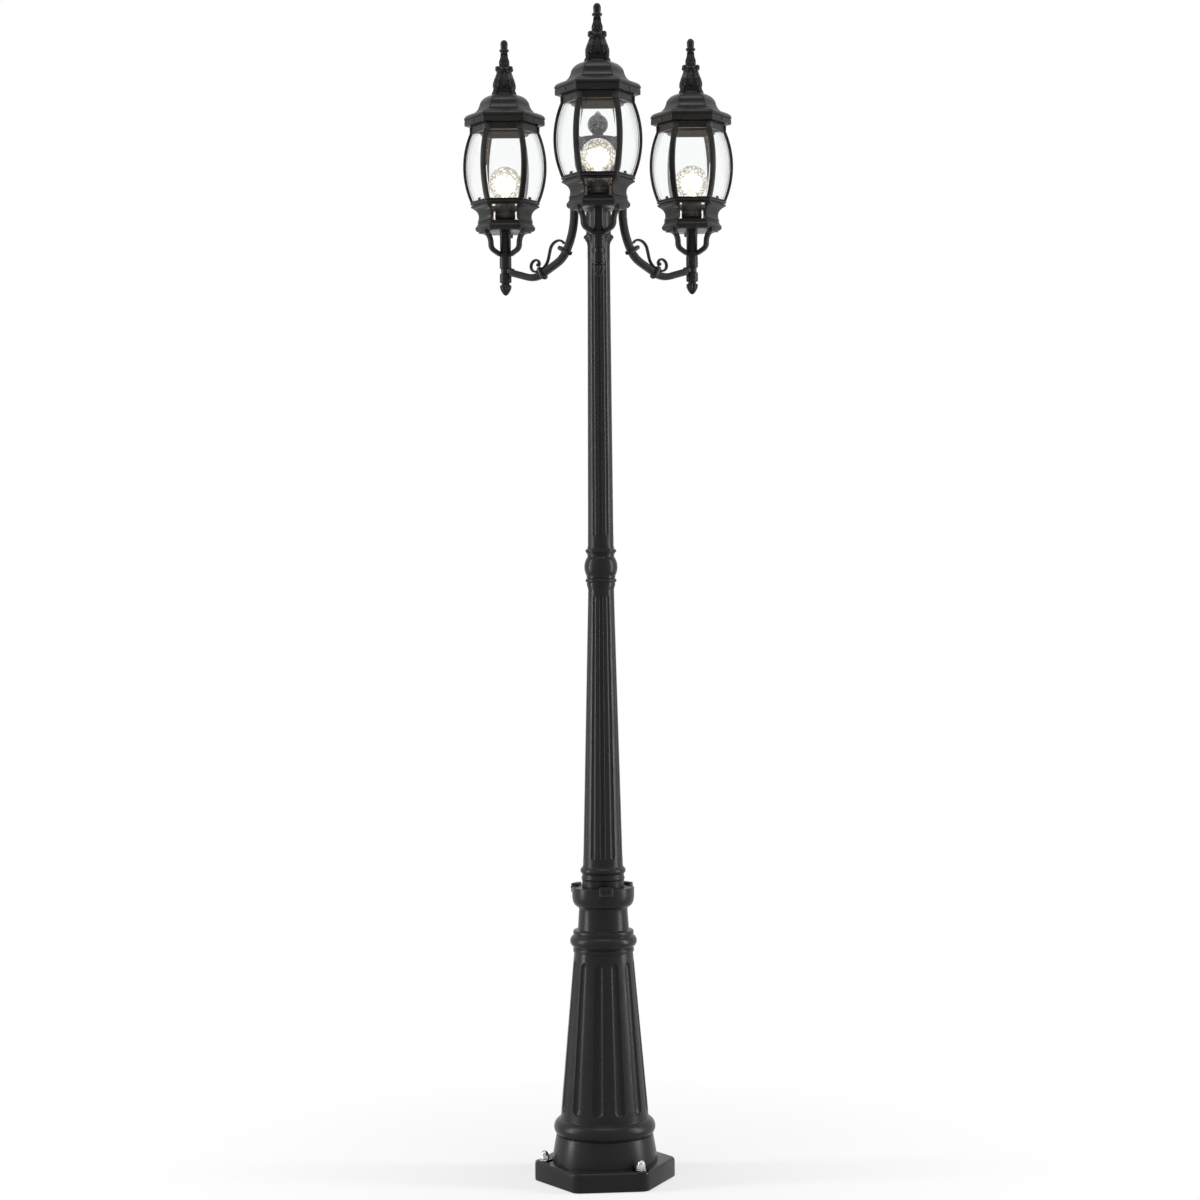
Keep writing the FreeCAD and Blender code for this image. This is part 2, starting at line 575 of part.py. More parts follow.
def arm_clip(x, rise, tilt):
    """Band round the bar and the scroll, at a reach and a rise above the eye.

    The tilt is that of the bar at the clip.
    """
    deep = BAR + SCROLL_THICKNESS + 2 * CLIP_WALL
    band = Part.makeBox(CLIP_LENGTH, BAR + 2 * CLIP_WALL, deep)
    band.translate(FreeCAD.Vector(-CLIP_LENGTH / 2, -BAR / 2 - CLIP_WALL, -BAR / 2 - CLIP_WALL))
    band.rotate(ORIGIN, FreeCAD.Vector(0, 1, 0), -tilt)
    band.translate(FreeCAD.Vector(x, 0, EYE_LOW_HEIGHT + rise))
    ease = 0.1
    bar_room = arm_path().bar(BAR + ease, BAR + ease)
    scroll_room = scroll_path().bar(SCROLL_THICKNESS + ease, SCROLL_WIDTH + ease)
    return band.cut([bar_room, scroll_room])


def placed_arm(shape, angle):
    """From the XZ plane to the arm's own direction. The front one reaches along -Y."""
    return spun(shape, angle - 90.0)


# ---------------------------------------------------------------- lanterns
# Each lantern is made on the axis of the pole, with a flat to the front.
def placed_lantern(shape, angle):
    return spun(shape.translated(FreeCAD.Vector(0, -REACH, 0)), angle)


def drop_finial():
    blind = EYE_LOW_HEIGHT - NIPPLE_GRIP
    return turned([
        (0, DROP_TIP_HEIGHT), (9, DROP_TIP_HEIGHT + 8),
        (12, DROP_TOP_HEIGHT - 5), (12, DROP_TOP_HEIGHT), (8, LOWER_SLEEVE_HEIGHT),
        (SLEEVE_RADIUS, LOWER_SLEEVE_HEIGHT + 1), (SLEEVE_RADIUS, EYE_LOW_HEIGHT),
        (SLEEVE_BORE_RADIUS, EYE_LOW_HEIGHT), (SLEEVE_BORE_RADIUS, blind), (0, blind),
    ], SLEEVE_SIDES)


def upper_sleeve():
    return turned([
        (SLEEVE_BORE_RADIUS, EYE_HIGH_HEIGHT), (SLEEVE_RADIUS, EYE_HIGH_HEIGHT),
        (SLEEVE_RADIUS, SLEEVE_TOP_HEIGHT), (SLEEVE_BORE_RADIUS, SLEEVE_TOP_HEIGHT),
    ], SLEEVE_SIDES)


def stem():
    """Tube that carries the lamp holder, with the threaded nipple below it."""
    nipple_foot = EYE_LOW_HEIGHT - NIPPLE_GRIP
    return turned([
        (0, nipple_foot), (NIPPLE_RADIUS, nipple_foot),
        (NIPPLE_RADIUS, SLEEVE_TOP_HEIGHT), (STEM_RADIUS, SLEEVE_TOP_HEIGHT),
        (STEM_RADIUS, HOLDER_FOOT_HEIGHT), (0, HOLDER_FOOT_HEIGHT),
    ], SLEEVE_SIDES)


def gallery():
    inside = GALLERY_WAIST - GALLERY_WALL / FLAT
    foot, top = GALLERY_FOOT_HEIGHT, GALLERY_TOP_HEIGHT
    floor = foot + GALLERY_FLOOR
    shell = six_sided([
        (0, foot), (60, foot), (62, foot + 3), (62, foot + 13.5), (58, foot + 17),
        *arc((58, foot + 17), (GALLERY_WAIST, foot + 28), (60, top - 11.5), 3),
        (64, top - 8), (70, top - 5), (70, top), (62.5, top), (55.5, top - 11.5),
        *arc((55.5, top - 11.5), (inside, foot + 28), (53, foot + 17), 2),
        (53, floor), (0, floor),
    ])
    window = Part.makeBox(80, WINDOW_WIDTH, WINDOW_HIGH_HEIGHT - WINDOW_LOW_HEIGHT)
    window.translate(FreeCAD.Vector(20, -WINDOW_WIDTH / 2, WINDOW_LOW_HEIGHT))
    windows = [spun(window, angle) for angle in flat_angles(WINDOW_FLATS)]
    leg = Path((54, foot - LEG_RADIAL / 2 + 2), 180)
    leg.to((37, foot - 13), (33.5, foot - 28), (25.5, LEG_RING_TOP_HEIGHT + 3.5))
    leg.to((STEM_RADIUS + 1.5, LEG_RING_TOP_HEIGHT - 1.5))
    legs = [spun(leg.bar(LEG_RADIAL, LEG_WIDTH), a) for a in flat_angles(LEG_FLATS)]
    ring = turned([
        (0, SLEEVE_TOP_HEIGHT), (LEG_RING_RADIUS, SLEEVE_TOP_HEIGHT),
        (LEG_RING_RADIUS, LEG_RING_TOP_HEIGHT), (0, LEG_RING_TOP_HEIGHT),
    ], SLEEVE_SIDES)
    reamed = STEM_RADIUS + CLEARANCE
    stem_room = turned([
        (0, SLEEVE_TOP_HEIGHT - 1), (reamed, SLEEVE_TOP_HEIGHT - 1),
        (reamed, floor + 1), (0, floor + 1),
    ], SLEEVE_SIDES)
    return joined([shell.cut(windows), ring] + legs).cut(stem_room)


def barrel(foot_corner, belly_corner, low, high, section):
    """Bowed bar from low to high. section(corner radius) gives its corners in plan."""
    start, end = (foot_corner, low), (foot_corner, high)
    line = [start] + arc(start, (belly_corner, CAGE_BELLY_HEIGHT), end, BARREL_STEPS)
    rings = []
    for corner, height in line:
        rings.append([FreeCAD.Vector(x, y, height) for x, y in section(corner)])
    return skinned(rings, closed=False)


def cage():
    rim = six_sided([
        (RING_INNER, GALLERY_TOP_HEIGHT), (RIM_CORNER - 1.5, GALLERY_TOP_HEIGHT),
        (RIM_CORNER, GALLERY_TOP_HEIGHT + 2), (RIM_CORNER, RIM_TOP_HEIGHT - 2),
        (RIM_CORNER - 1.5, RIM_TOP_HEIGHT), (RING_INNER, RIM_TOP_HEIGHT),
    ])
    ring = six_sided([
        (RING_INNER, CAGE_TOP_HEIGHT), (RING_CORNER, CAGE_TOP_HEIGHT),
        (RING_CORNER, RING_TOP_HEIGHT), (COLLAR_CORNER, RING_TOP_HEIGHT),
        (COLLAR_CORNER, COLLAR_TOP_HEIGHT), (RING_INNER, COLLAR_TOP_HEIGHT),
    ])

    def section(corner):
        inner, half = corner - RIB_DEPTH, RIB_WIDTH / 2.0
        return [(inner, -half), (corner, -half), (corner, half), (inner, half)]

    rib = barrel(RIB_FOOT_CORNER, CAGE_BELLY_CORNER, RIM_TOP_HEIGHT, CAGE_TOP_HEIGHT, section)
    ribs = [spun(rib, angle + 30.0) for angle in flat_angles()]
    return joined([rim, ring] + ribs)


def glass_panes():
    """Six bowed panes behind the ribs, mitred to each other with a small gap."""
    def section(corner):
        corners = []
        for flat, way in ((corner - GLASS_THICKNESS / FLAT, -1), (corner, -1),
                          (corner, 1), (corner - GLASS_THICKNESS / FLAT, 1)):
            half = flat / 2.0 - CLEARANCE / FLAT
            corners.append((flat * FLAT, way * half))
        return corners

    back = RIB_DEPTH + CLEARANCE
    pane = barrel(RIB_FOOT_CORNER - back, CAGE_BELLY_CORNER - back,
                  RIM_TOP_HEIGHT, CAGE_TOP_HEIGHT - CLEARANCE, section)
    return [spun(pane, angle) for angle in flat_angles()]


def lamp_holder():
    bore = CAP_RADIUS + CLEARANCE
    return turned([
        (0, HOLDER_FOOT_HEIGHT), (HOLDER_RADIUS, HOLDER_FOOT_HEIGHT),
        (HOLDER_RADIUS, HOLDER_TOP_HEIGHT), (bore, HOLDER_TOP_HEIGHT), (bore, CAP_FOOT_HEIGHT),
        (0, CAP_FOOT_HEIGHT),
    ], SMALL_SIDES)


def bulb_base():
    return turned([
        (0, CAP_FOOT_HEIGHT), (5, CAP_FOOT_HEIGHT), (CAP_RADIUS, CAP_FOOT_HEIGHT + 5),
        (CAP_RADIUS, CAP_TOP_HEIGHT), (0, CAP_TOP_HEIGHT),
    ], SMALL_SIDES)


def bulb_glass():
    ball = bead(BULB_TOP_HEIGHT - BULB_RADIUS, 0, BULB_RADIUS, -32, 90, 4)
    return turned([
        (0, CAP_TOP_HEIGHT), (CAP_RADIUS, CAP_TOP_HEIGHT),
        (CAP_RADIUS, HOLDER_TOP_HEIGHT + 1), (CAP_RADIUS + 6, HOLDER_TOP_HEIGHT + 11),
    ] + ball, SMALL_SIDES)


def roof():
    brim, shoulder, top = BRIM_HEIGHT, BRIM_TOP_HEIGHT, ROOF_TOP_HEIGHT
    lip, under = COLLAR_CORNER + 1.0, top - ROOF_WALL
    bend, crown = (66, shoulder), (53.5, shoulder + 15)
    return six_sided([
        (lip, RING_TOP_HEIGHT), (76, RING_TOP_HEIGHT), (BRIM_CORNER - 1.5, brim - 6.5),
        (BRIM_CORNER, brim - 2), (BRIM_CORNER, brim + 2), (BRIM_CORNER - 1.5, brim + 7),
        (78, brim + 13.5), bend, *arc(bend, (58, shoulder + 8.5), crown, 3),
        *arc(crown, (46.5, top - 11), (30, top - 2), 4), (0, top),
        (0, under), (26, under - 2), (48.5, shoulder + 14), (60, shoulder - 3),
        (74, shoulder - 6), (BRIM_CORNER - ROOF_WALL - 1, brim), (76, RING_TOP_HEIGHT + 4),
        (lip, RING_TOP_HEIGHT + 4),
    ])


def roof_screws():
    """Heads of the set screws that hold the roof on, on its fascia."""
    head = turned([
        (0, 0), (ROOF_SCREW_RADIUS, 0), (ROOF_SCREW_RADIUS, ROOF_SCREW_HEAD),
        (0, ROOF_SCREW_HEAD),
    ], SCREW_SIDES)
    fascia = BRIM_CORNER * FLAT
    return [outward(head, angle, fascia, BRIM_HEIGHT) for angle in flat_angles(LEG_FLATS)]


def spire():
    """Leafy foot and rod, as (corner radius, rise above the roof)."""
    leaves = [
        (24, 0), (24, 3), (22.6, 5), (23.2, 18), (21, 28), (17.5, 37.5), (13.5, 46),
        (18.6, 51.5), (17, 55), (9.8, 60), (10.3, 69), (7.2, 80), (6.8, 84),
    ]
    rod = [(10, 88.5), (10, 91), (7.2, 94), (7.6, 103), (5.4, 109.5)]
    outline = [(0, 0)] + leaves + rod + [(0, SPIRE_HEIGHT)]
    return six_sided([(radius, ROOF_TOP_HEIGHT + rise) for radius, rise in outline])


# ---------------------------------------------------------------- nodes
def write(name, shapes):
    solids = shapes if isinstance(shapes, list) else [shapes]
    whole = solids[0] if len(solids) == 1 else Part.makeCompound(solids)
    good = whole.isValid()
    print(f"{name:20s} solids {len(whole.Solids):3d} volume {whole.Volume:12.0f} valid {good}")
    whole.exportStep(os.path.join("parts", name + ".step"))


def main():
    os.makedirs("parts", exist_ok=True)
    for name, shapes in {
        "base_casting": base_casting(),
        "collar_screws": collar_screws(),
        "anchor_washers": anchor_washers(),
        "anchor_nuts": anchor_nuts(),
    }.items():
        solids = shapes if isinstance(shapes, list) else [shapes]
        write(name, [spun(solid, BASE_TURN) for solid in solids])
    write("pole_lower", pole_lower())
    write("pole_upper", pole_upper())
    write("hub", hub())
    write("hub_knob", hub_knob())

    arm_pieces = {
        "arm": [arm()],
        "scroll": [scroll_path().bar(SCROLL_THICKNESS, SCROLL_WIDTH)],
        "arm_clips": [arm_clip(75.8, 36, -60), arm_clip(131.5, -6, -27)],
    }
    lantern_pieces = {
        "gallery": [gallery()],
        "cage": [cage()],
        "glass_panes": glass_panes(),
        "roof": [roof()],
        "roof_screws": roof_screws(),
        "spire": [spire()],
        "drop_finial": [drop_finial()],
        "upper_sleeve": [upper_sleeve()],
        "stem": [stem()],
        "lamp_holder": [lamp_holder()],
        "bulb_base": [bulb_base()],
        "bulb_glass": [bulb_glass()],
    }
    for side, angle in THIRDS.items():
        for name, solids in arm_pieces.items():
            write(f"{side}_{name}", [placed_arm(solid, angle) for solid in solids])
        for name, solids in lantern_pieces.items():
            write(f"{side}_{name}", [placed_lantern(solid, angle) for solid in solids])


main()
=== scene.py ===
"""Looks of the garden lamp post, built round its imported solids.

Lengths in the shape functions are millimetres, and everything is turned into metres when
a mesh is made. Outlines are lists of (radius, height), with the corner radius in six-sided
ones. The front arm reaches along -Y, and the post stands on z = 0.
"""

import math

import bmesh
import bpy
from mathutils import Matrix, Vector


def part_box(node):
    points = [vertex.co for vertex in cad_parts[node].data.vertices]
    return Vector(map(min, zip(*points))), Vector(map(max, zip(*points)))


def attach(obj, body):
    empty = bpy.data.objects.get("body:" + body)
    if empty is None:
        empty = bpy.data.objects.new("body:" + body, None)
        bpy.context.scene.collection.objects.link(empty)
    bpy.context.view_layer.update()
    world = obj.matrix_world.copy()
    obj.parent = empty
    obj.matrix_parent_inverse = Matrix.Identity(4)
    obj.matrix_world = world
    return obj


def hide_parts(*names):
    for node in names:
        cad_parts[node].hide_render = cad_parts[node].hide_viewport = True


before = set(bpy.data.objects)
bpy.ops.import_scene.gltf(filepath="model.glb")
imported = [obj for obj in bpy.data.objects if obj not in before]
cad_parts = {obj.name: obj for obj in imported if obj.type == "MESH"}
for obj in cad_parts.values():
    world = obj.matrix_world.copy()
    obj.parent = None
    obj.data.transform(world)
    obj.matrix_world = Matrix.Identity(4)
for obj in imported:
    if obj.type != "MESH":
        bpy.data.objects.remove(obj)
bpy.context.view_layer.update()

MM = 0.001
FLAT = math.cos(math.radians(30.0))  # flat radius of a hexagon over its corner radius
THIRDS = {"front": 0.0, "right": 120.0, "left": -120.0}
LEG_FLATS = (1, 3, 5)  # the roof screws and the tabs stand above the same flats
WINDOW_FLATS = (0, 3)  # of the gallery: front and back


def low(node):
    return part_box(node)[0].z / MM


def high(node):
    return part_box(node)[1].z / MM


def middle_of(node):
    lowest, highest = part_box(node)
    return (lowest + highest) / 2.0


# ---- places from the frame
REACH = -middle_of("front_stem").y / MM
POST_BODY = "post"
JOINT = high("pole_lower")
HUB_SEAT = low("hub")
HUB_TOP = high("hub")
ARM_ROOT = HUB_SEAT + 52.0
EYE_LOW = high("front_drop_finial")
EYE_HIGH = low("front_upper_sleeve")
SLEEVE_TOP = high("front_upper_sleeve")
STEM_TOP = high("front_stem")
HOLDER_TOP = high("front_lamp_holder")
CAP_FOOT = low("front_bulb_base")
CAP_TOP = high("front_bulb_base")
BULB_TOP = high("front_bulb_glass")
GALLERY_TOP = high("front_gallery")
GALLERY_FOOT = GALLERY_TOP - 53.0
LEG_RING_TOP = SLEEVE_TOP + 5.0
RIM_TOP = low("front_glass_panes")
CAGE_TOP = high("front_glass_panes") + 0.3
BELLY_HEIGHT = RIM_TOP + 71.0
COLLAR_TOP = high("front_cage")
BRIM_FOOT = low("front_roof")
ROOF_TOP = high("front_roof")
DROP_TIP = low("front_drop_finial")

# ---- sizes
FRONT = -90.0  # direction of the front
BASE_TURN = 5.6  # the foot is bolted down a little out of line with the arms
LUG_ANGLES = (-90.0, 30.0, 150.0)
BOLT_ANGLES = (-180.0, -60.0, 60.0)
BOLT_RADIUS = 121.0
FOOT_CORNER, FOOT_HEIGHT = 143.0, 38.0
WASHER = 2.0  # thickness
NUT_ACROSS_FLATS = 17.0
FLUTES = 12
HUB_RADIUS = 41.0
KNOB_HEIGHT = 2106.0
ARM_BAR = 14.0
BORE = 5.4  # radius, through the eye and the sleeve
RIB_DEPTH = 6.0
PANE_THICKNESS, PANE_BEVEL, PANE_GAP = 2.5, 1.2, 0.35
BULB_RADIUS = 33.0
BALL_START = -32  # degrees above the horizontal at which the bulb's ball starts
THREAD_PITCH = 3.6
POLE = 89.9  # degrees, just short of the top of a ball

# ---- settings of the meshes
QUARTER = math.pi / 2
WELD_M, SLIVER_M = 2e-6, 1e-6
BEVEL_ANGLE, SHARP_ANGLE = math.radians(34.0), math.radians(32.0)
EASE_SHARE, EASE_LEAST = 0.45, 0.05  # of a side at most, and mm at least
EASE_STRAIGHT = math.radians(165)  # blunter corners stay as they are
HEXAGON_ROUNDING = 0.35
LEAST_OPENING = 0.02  # of a flute, so that its points stay apart
PETAL_SIDES = 72


# ---- mesh helpers
def flat_angle(k):
    """Direction of flat k of a lantern. Flat 0 is the front one."""
    return 60.0 * k + FRONT


class Form:
    """Points and faces of one piece, in millimetres."""

    def __init__(self):
        self.points = []
        self.faces = []

    def grid(self, rows, ring=True, loop=False):
        """Faces between rows of as many points. ring closes each row, loop the stack."""
        start, count = len(self.points), len(rows[0])
        for row in rows:
            self.points.extend(Vector(point) for point in row)
        for a in range(len(rows) if loop else len(rows) - 1):
            b = (a + 1) % len(rows)
            for i in range(count if ring else count - 1):
                j = (i + 1) % count
                corners = (a * count + i, a * count + j, b * count + j, b * count + i)
                self.faces.append(tuple(start + corner for corner in corners))
        return self

    def face(self, points):
        start = len(self.points)
        self.points.extend(Vector(point) for point in points)
        self.faces.append(tuple(range(start, len(self.points))))
        return self

    def tube(self, rows):
        """A closed bar: rings of points with a face on each end."""
        return self.grid(rows).face(rows[0]).face(rows[-1])

    def add(self, other, matrix=None):
        start = len(self.points)
        self.points.extend(matrix @ p if matrix else p.copy() for p in other.points)
        self.faces.extend(tuple(start + i for i in face) for face in other.faces)
        return self


def spin(degrees):
    return Matrix.Rotation(math.radians(degrees), 4, "Z")


def shift(x, y, z):
    return Matrix.Translation((x, y, z))


def outward(direction, distance, height):
    """Matrix that lays what was made along +Z outward in a direction."""
    return spin(direction) @ shift(distance, 0, height) @ Matrix.Rotation(QUARTER, 4, "Y")


def arc(start, through, end, steps):
    """Points on the arc from start, left out, through a point to end."""
    (ax, az), (bx, bz), (cx, cz) = start, through, end
    d = 2.0 * (ax * (bz - cz) + bx * (cz - az) + cx * (az - bz))
    a2, b2, c2 = ax * ax + az * az, bx * bx + bz * bz, cx * cx + cz * cz
    ox = (a2 * (bz - cz) + b2 * (cz - az) + c2 * (az - bz)) / d
    oz = (a2 * (cx - bx) + b2 * (ax - cx) + c2 * (bx - ax)) / d
    radius = math.hypot(ax - ox, az - oz)
    first = math.atan2(az - oz, ax - ox)
    half = math.remainder(math.atan2(bz - oz, bx - ox) - first, 2.0 * math.pi)
    rest = math.remainder(math.atan2(cz - oz, cx - ox) - first - half, 2.0 * math.pi)
    angles = [first + (half + rest) * i / steps for i in range(1, steps + 1)]
    return [(ox + radius * math.cos(a), oz + radius * math.sin(a)) for a in angles]


def bead(height, radius, size, start, end, steps=10):
    """Round moulding, from angle start to end above the horizontal."""
    angles = [math.radians(start + (end - start) * i / steps) for i in range(steps + 1)]
    return [(radius + size * math.cos(a), height + size * math.sin(a)) for a in angles]


def eased(outline, size, steps=3):
    """The outline with its corners rounded by as much as size."""
    points = [outline[0]]
    for before, corner, after in zip(outline, outline[1:], outline[2:]):
        a, c, b = Vector(before), Vector(corner), Vector(after)
        reach = min(size, (a - c).length * EASE_SHARE, (b - c).length * EASE_SHARE)
        if reach < EASE_LEAST or (a - c).angle(b - c) > EASE_STRAIGHT:
            points.append(corner)
            continue
        start, end = c + (a - c).normalized() * reach, c + (b - c).normalized() * reach
        for i in range(steps + 1):
            t = i / steps
            point = start * (1 - t) ** 2 + c * 2 * t * (1 - t) + end * t * t
            points.append((point.x, point.y))
    return points + [outline[-1]]


def closed(outline, size):
    """Eased outline that ends where it starts."""
    return eased(outline + outline[:1], size)


def polar(radius, angle, height):
    return (radius * math.cos(angle), radius * math.sin(angle), height)


def turned(x, y, angle, height):
    return (x * math.cos(angle) - y * math.sin(angle),
            x * math.sin(angle) + y * math.cos(angle), height)


def above(foot, *points):
    """Points whose heights are counted from foot."""
    return [(radius, foot + rise) for radius, rise in points]


def ring_of(radius, height, sides):
    return [polar(radius, math.radians(360.0 * i / sides), height) for i in range(sides)]


def lathe(outline, sides=64, loop=False):
    """Turned form of (radius, height) points. loop joins the last point to the first."""
    return Form().grid([ring_of(r, z, sides) for r, z in outline], loop=loop)


def hexagon(corner, height, edge):
    """Ring of a hexagon with a flat to the front, its corners rounded by edge."""
    points = []
    for i in range(6):
        for k in (-2, -1, 0, 1, 2):
            rounding = edge * (1.0 - abs(k) / 2.0) ** 2 * HEXAGON_ROUNDING
            side = edge * k / 2.0
            x = corner - abs(side) * 0.5 - rounding
            points.append(turned(x, side * FLAT, math.radians(60.0 * i), height))
    return points


def six_sided(outline, edge):
    """Six-sided form of (corner radius, height) points."""
    return Form().grid([hexagon(max(r, 0.01), z, min(edge, r * 0.3)) for r, z in outline])


def scalloped(outline, dip):
    """Rings of a turned form, sunk by dip(radius, height, angle) between its petals."""
    angles = [2.0 * math.pi * i / PETAL_SIDES for i in range(PETAL_SIDES)]
    return [[polar(r - dip(r, z, a), a, z) for a in angles] for r, z in outline]


def block(width, depth, height, edge, steps=3):
    """Upright box on z = 0 with rounded corners and a rounded top edge."""
    angles = [math.radians(90 * i / steps) for i in range(steps + 1)]
    levels = [(0, 0)] + [(edge * (1 - math.cos(a)), height - edge * (1 - math.sin(a)))
                         for a in angles]
    return Form().tube([[(x, y, z) for x, y in
                         rounded(width - 2 * inset, depth - 2 * inset, edge, steps)]
                        for inset, z in levels])


def rounded(width, depth, radius, steps=3):
    """Corners of a rectangle with round corners, round the origin."""
    points = []
    for quarter, (sx, sy) in enumerate(((1, 1), (-1, 1), (-1, -1), (1, -1))):
        cx, cy = sx * (width / 2 - radius), sy * (depth / 2 - radius)
        for i in range(steps + 1):
            a = math.radians(90 * quarter + 90 * i / steps)
            points.append((cx + radius * math.cos(a), cy + radius * math.sin(a)))
    return points


class Path:
    """Line of arcs, each tangent to the last, in a plane of reach and height."""

    def __init__(self, start, direction):
        self.points = [start]
        self.headings = [math.radians(direction)]

    def to(self, *points):
        for point in points:
            last, heading = self.points[-1], self.headings[-1]
            chord = math.atan2(point[1] - last[1], point[0] - last[0])
            turn = math.remainder(chord - heading, 2.0 * math.pi)
            self.points.append(point)
            self.headings.append(heading + 2.0 * turn)
        return self

    def stations(self, step):
        """(x, z, heading) along the path, every few degrees of its bends."""
        places = []
        for i, start in enumerate(self.points[:-1]):
            end = self.points[i + 1]
            heading, turn = self.headings[i], self.headings[i + 1] - self.headings[i]
            chord = math.hypot(end[0] - start[0], end[1] - start[1])
            count = max(1, math.ceil(abs(math.degrees(turn)) / step), math.ceil(chord / 12.0))
            for k in range(count + (i == len(self.points) - 2)):
                here = turn * k / count
                if abs(turn) < 1e-6:
                    reach = chord * k / count
                else:
                    reach = chord * math.sin(here / 2.0) / math.sin(turn / 2.0)
                places.append((start[0] + reach * math.cos(heading + here / 2.0),
                               start[1] + reach * math.sin(heading + here / 2.0),
                               heading + here))
        return places

    def bar(self, depth, width, edge, taper=None, step=5.0, until=math.inf):
        """Bar along the path. taper(share of the way) gives (depth share, width share)."""
        rows = []
        places = [place for place in self.stations(step) if place[0] <= until]
        for i, (x, z, heading) in enumerate(places):
            deep, wide = taper(i / (len(places) - 1)) if taper else (1.0, 1.0)
            section = rounded(depth * deep, width * wide, min(edge, depth * deep * 0.45))
            rows.append([(x - u * math.sin(heading), v, z + u * math.cos(heading))
                         for u, v in section])
        return Form().tube(rows)


def linked(name, data):
    """Object of a mesh, light or camera, in the scene."""
    obj = bpy.data.objects.new(name, data)
    bpy.context.scene.collection.objects.link(obj)
    return obj


def piece(name, form, material, body, replaces=(), place=None, bevel=0.0):
    """Mesh object of a form, riding on its body. bevel rounds the edges of a closed form."""
    mesh = bpy.data.meshes.new(name)
    points = [(place @ p if place else p) * MM for p in form.points]
    mesh.from_pydata([tuple(p) for p in points], [], form.faces)
    shape = bmesh.new()
    shape.from_mesh(mesh)
    bmesh.ops.remove_doubles(shape, verts=shape.verts, dist=WELD_M)
    bmesh.ops.dissolve_degenerate(shape, dist=SLIVER_M, edges=shape.edges)
    bmesh.ops.recalc_face_normals(shape, faces=shape.faces)
    if bevel:
        turns = [edge for edge in shape.edges
                 if edge.is_manifold and edge.calc_face_angle(0.0) > BEVEL_ANGLE]
        bmesh.ops.bevel(shape, geom=turns, offset=bevel * MM, offset_type="OFFSET", segments=2,
                        profile=0.6, affect="EDGES", clamp_overlap=True)
    for face in shape.faces:
        face.smooth = True
    shape.to_mesh(mesh)
    shape.free()
    mesh.set_sharp_from_angle(angle=SHARP_ANGLE)
    mesh.materials.append(material)
    obj = linked(name, mesh)
    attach(obj, body)
    if replaces:
        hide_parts(*replaces)
    return obj


# ---- materials
def new_material(name):
    material = bpy.data.materials.new(name)
    material.use_nodes = True
    tree = material.node_tree
    return material, tree, tree.nodes["Principled BSDF"]


def settle(node, **values):
    """Sets sockets. An underscore stands for the space in a socket's name."""
    for name, value in values.items():
        node.inputs[name.replace("_", " ")].default_value = value


def texture(tree, kind, scale, **settings):
    """Texture node in object coordinates, with the given sockets."""
    where = tree.nodes.new("ShaderNodeTexCoord")
    node = tree.nodes.new(kind)
    settle(node, Scale=scale, **settings)
    tree.links.new(where.outputs["Object"], node.inputs["Vector"])
    return node


def noise(tree, scale, **settings):
    return texture(tree, "ShaderNodeTexNoise", scale, **settings).outputs["Fac"]


def cells(tree, scale, feature):
    node = texture(tree, "ShaderNodeTexVoronoi", scale)
    node.feature = feature
    return node.outputs["Distance"]


def ramp(tree, value, low_value, high_value, from_low=0.3, from_high=0.7):
    node = tree.nodes.new("ShaderNodeMapRange")
    settle(node, From_Min=from_low, From_Max=from_high, To_Min=low_value, To_Max=high_value)
    tree.links.new(value, node.inputs["Value"])
    return node.outputs["Result"]


def combined(tree, operation, first, second):
    node = tree.nodes.new("ShaderNodeMath")
    node.operation = operation
    tree.links.new(first, node.inputs[0])
    tree.links.new(second, node.inputs[1])
    return node.outputs[0]


def blended(tree, factor, first, second):
    node = tree.nodes.new("ShaderNodeMix")
    node.data_type = "RGBA"
    tree.links.new(factor, node.inputs["Factor"])
    for socket, colour in ((node.inputs["A"], first), (node.inputs["B"], second)):
        if isinstance(colour, tuple):
            socket.default_value = (*colour, 1.0)
        else:
            tree.links.new(colour, socket)
    return node.outputs["Result"]


def bumped(tree, shader, height, strength, distance):
    node = tree.nodes.new("ShaderNodeBump")
    settle(node, Strength=strength, Distance=distance)
    tree.links.new(height, node.inputs["Height"])
    tree.links.new(node.outputs["Normal"], shader.inputs["Normal"])


COAT, COAT_DUST = (0.0125, 0.0125, 0.0122), (0.0175, 0.0175, 0.017)
# lighter colour of sharp edges: a painted highlight, and wear of the coat
COAT_EDGE_HIGHLIGHT_AND_WEAR = (0.080, 0.080, 0.078)
COAT_EDGE_HIGHLIGHT_FROM_TO = (0.56, 0.65)  # pointiness of the edges that get the painted highlight and wear colour
COAT_ROUGHNESS = (0.25, 0.37)
COAT_SPECULAR = 0.13
COAT_PEEL_SCALE, COAT_PATCH_SCALE = 900.0, 28.0
STEEL_COLOUR, STEEL_ROUGHNESS = (0.40, 0.40, 0.39), (0.18, 0.34)
CAP_COLOUR, CAP_ROUGHNESS = (0.70, 0.68, 0.62), (0.28, 0.42)
PANE_IOR, PANE_WAVE_SCALE, PANE_RIPPLE = 1.34, 26.0, 0.05
BULB_IOR, CRACK_SCALE = 1.45, 120.0
BULB_CLEAR, BULB_CLOUDY, BULB_CRACK = (0.99, 0.99, 0.98), (0.80, 0.80, 0.76), (0.34, 0.33, 0.28)
LIT = (1.0, 0.98, 0.94)
GLOW_STRENGTH = (0.63, 1.425)


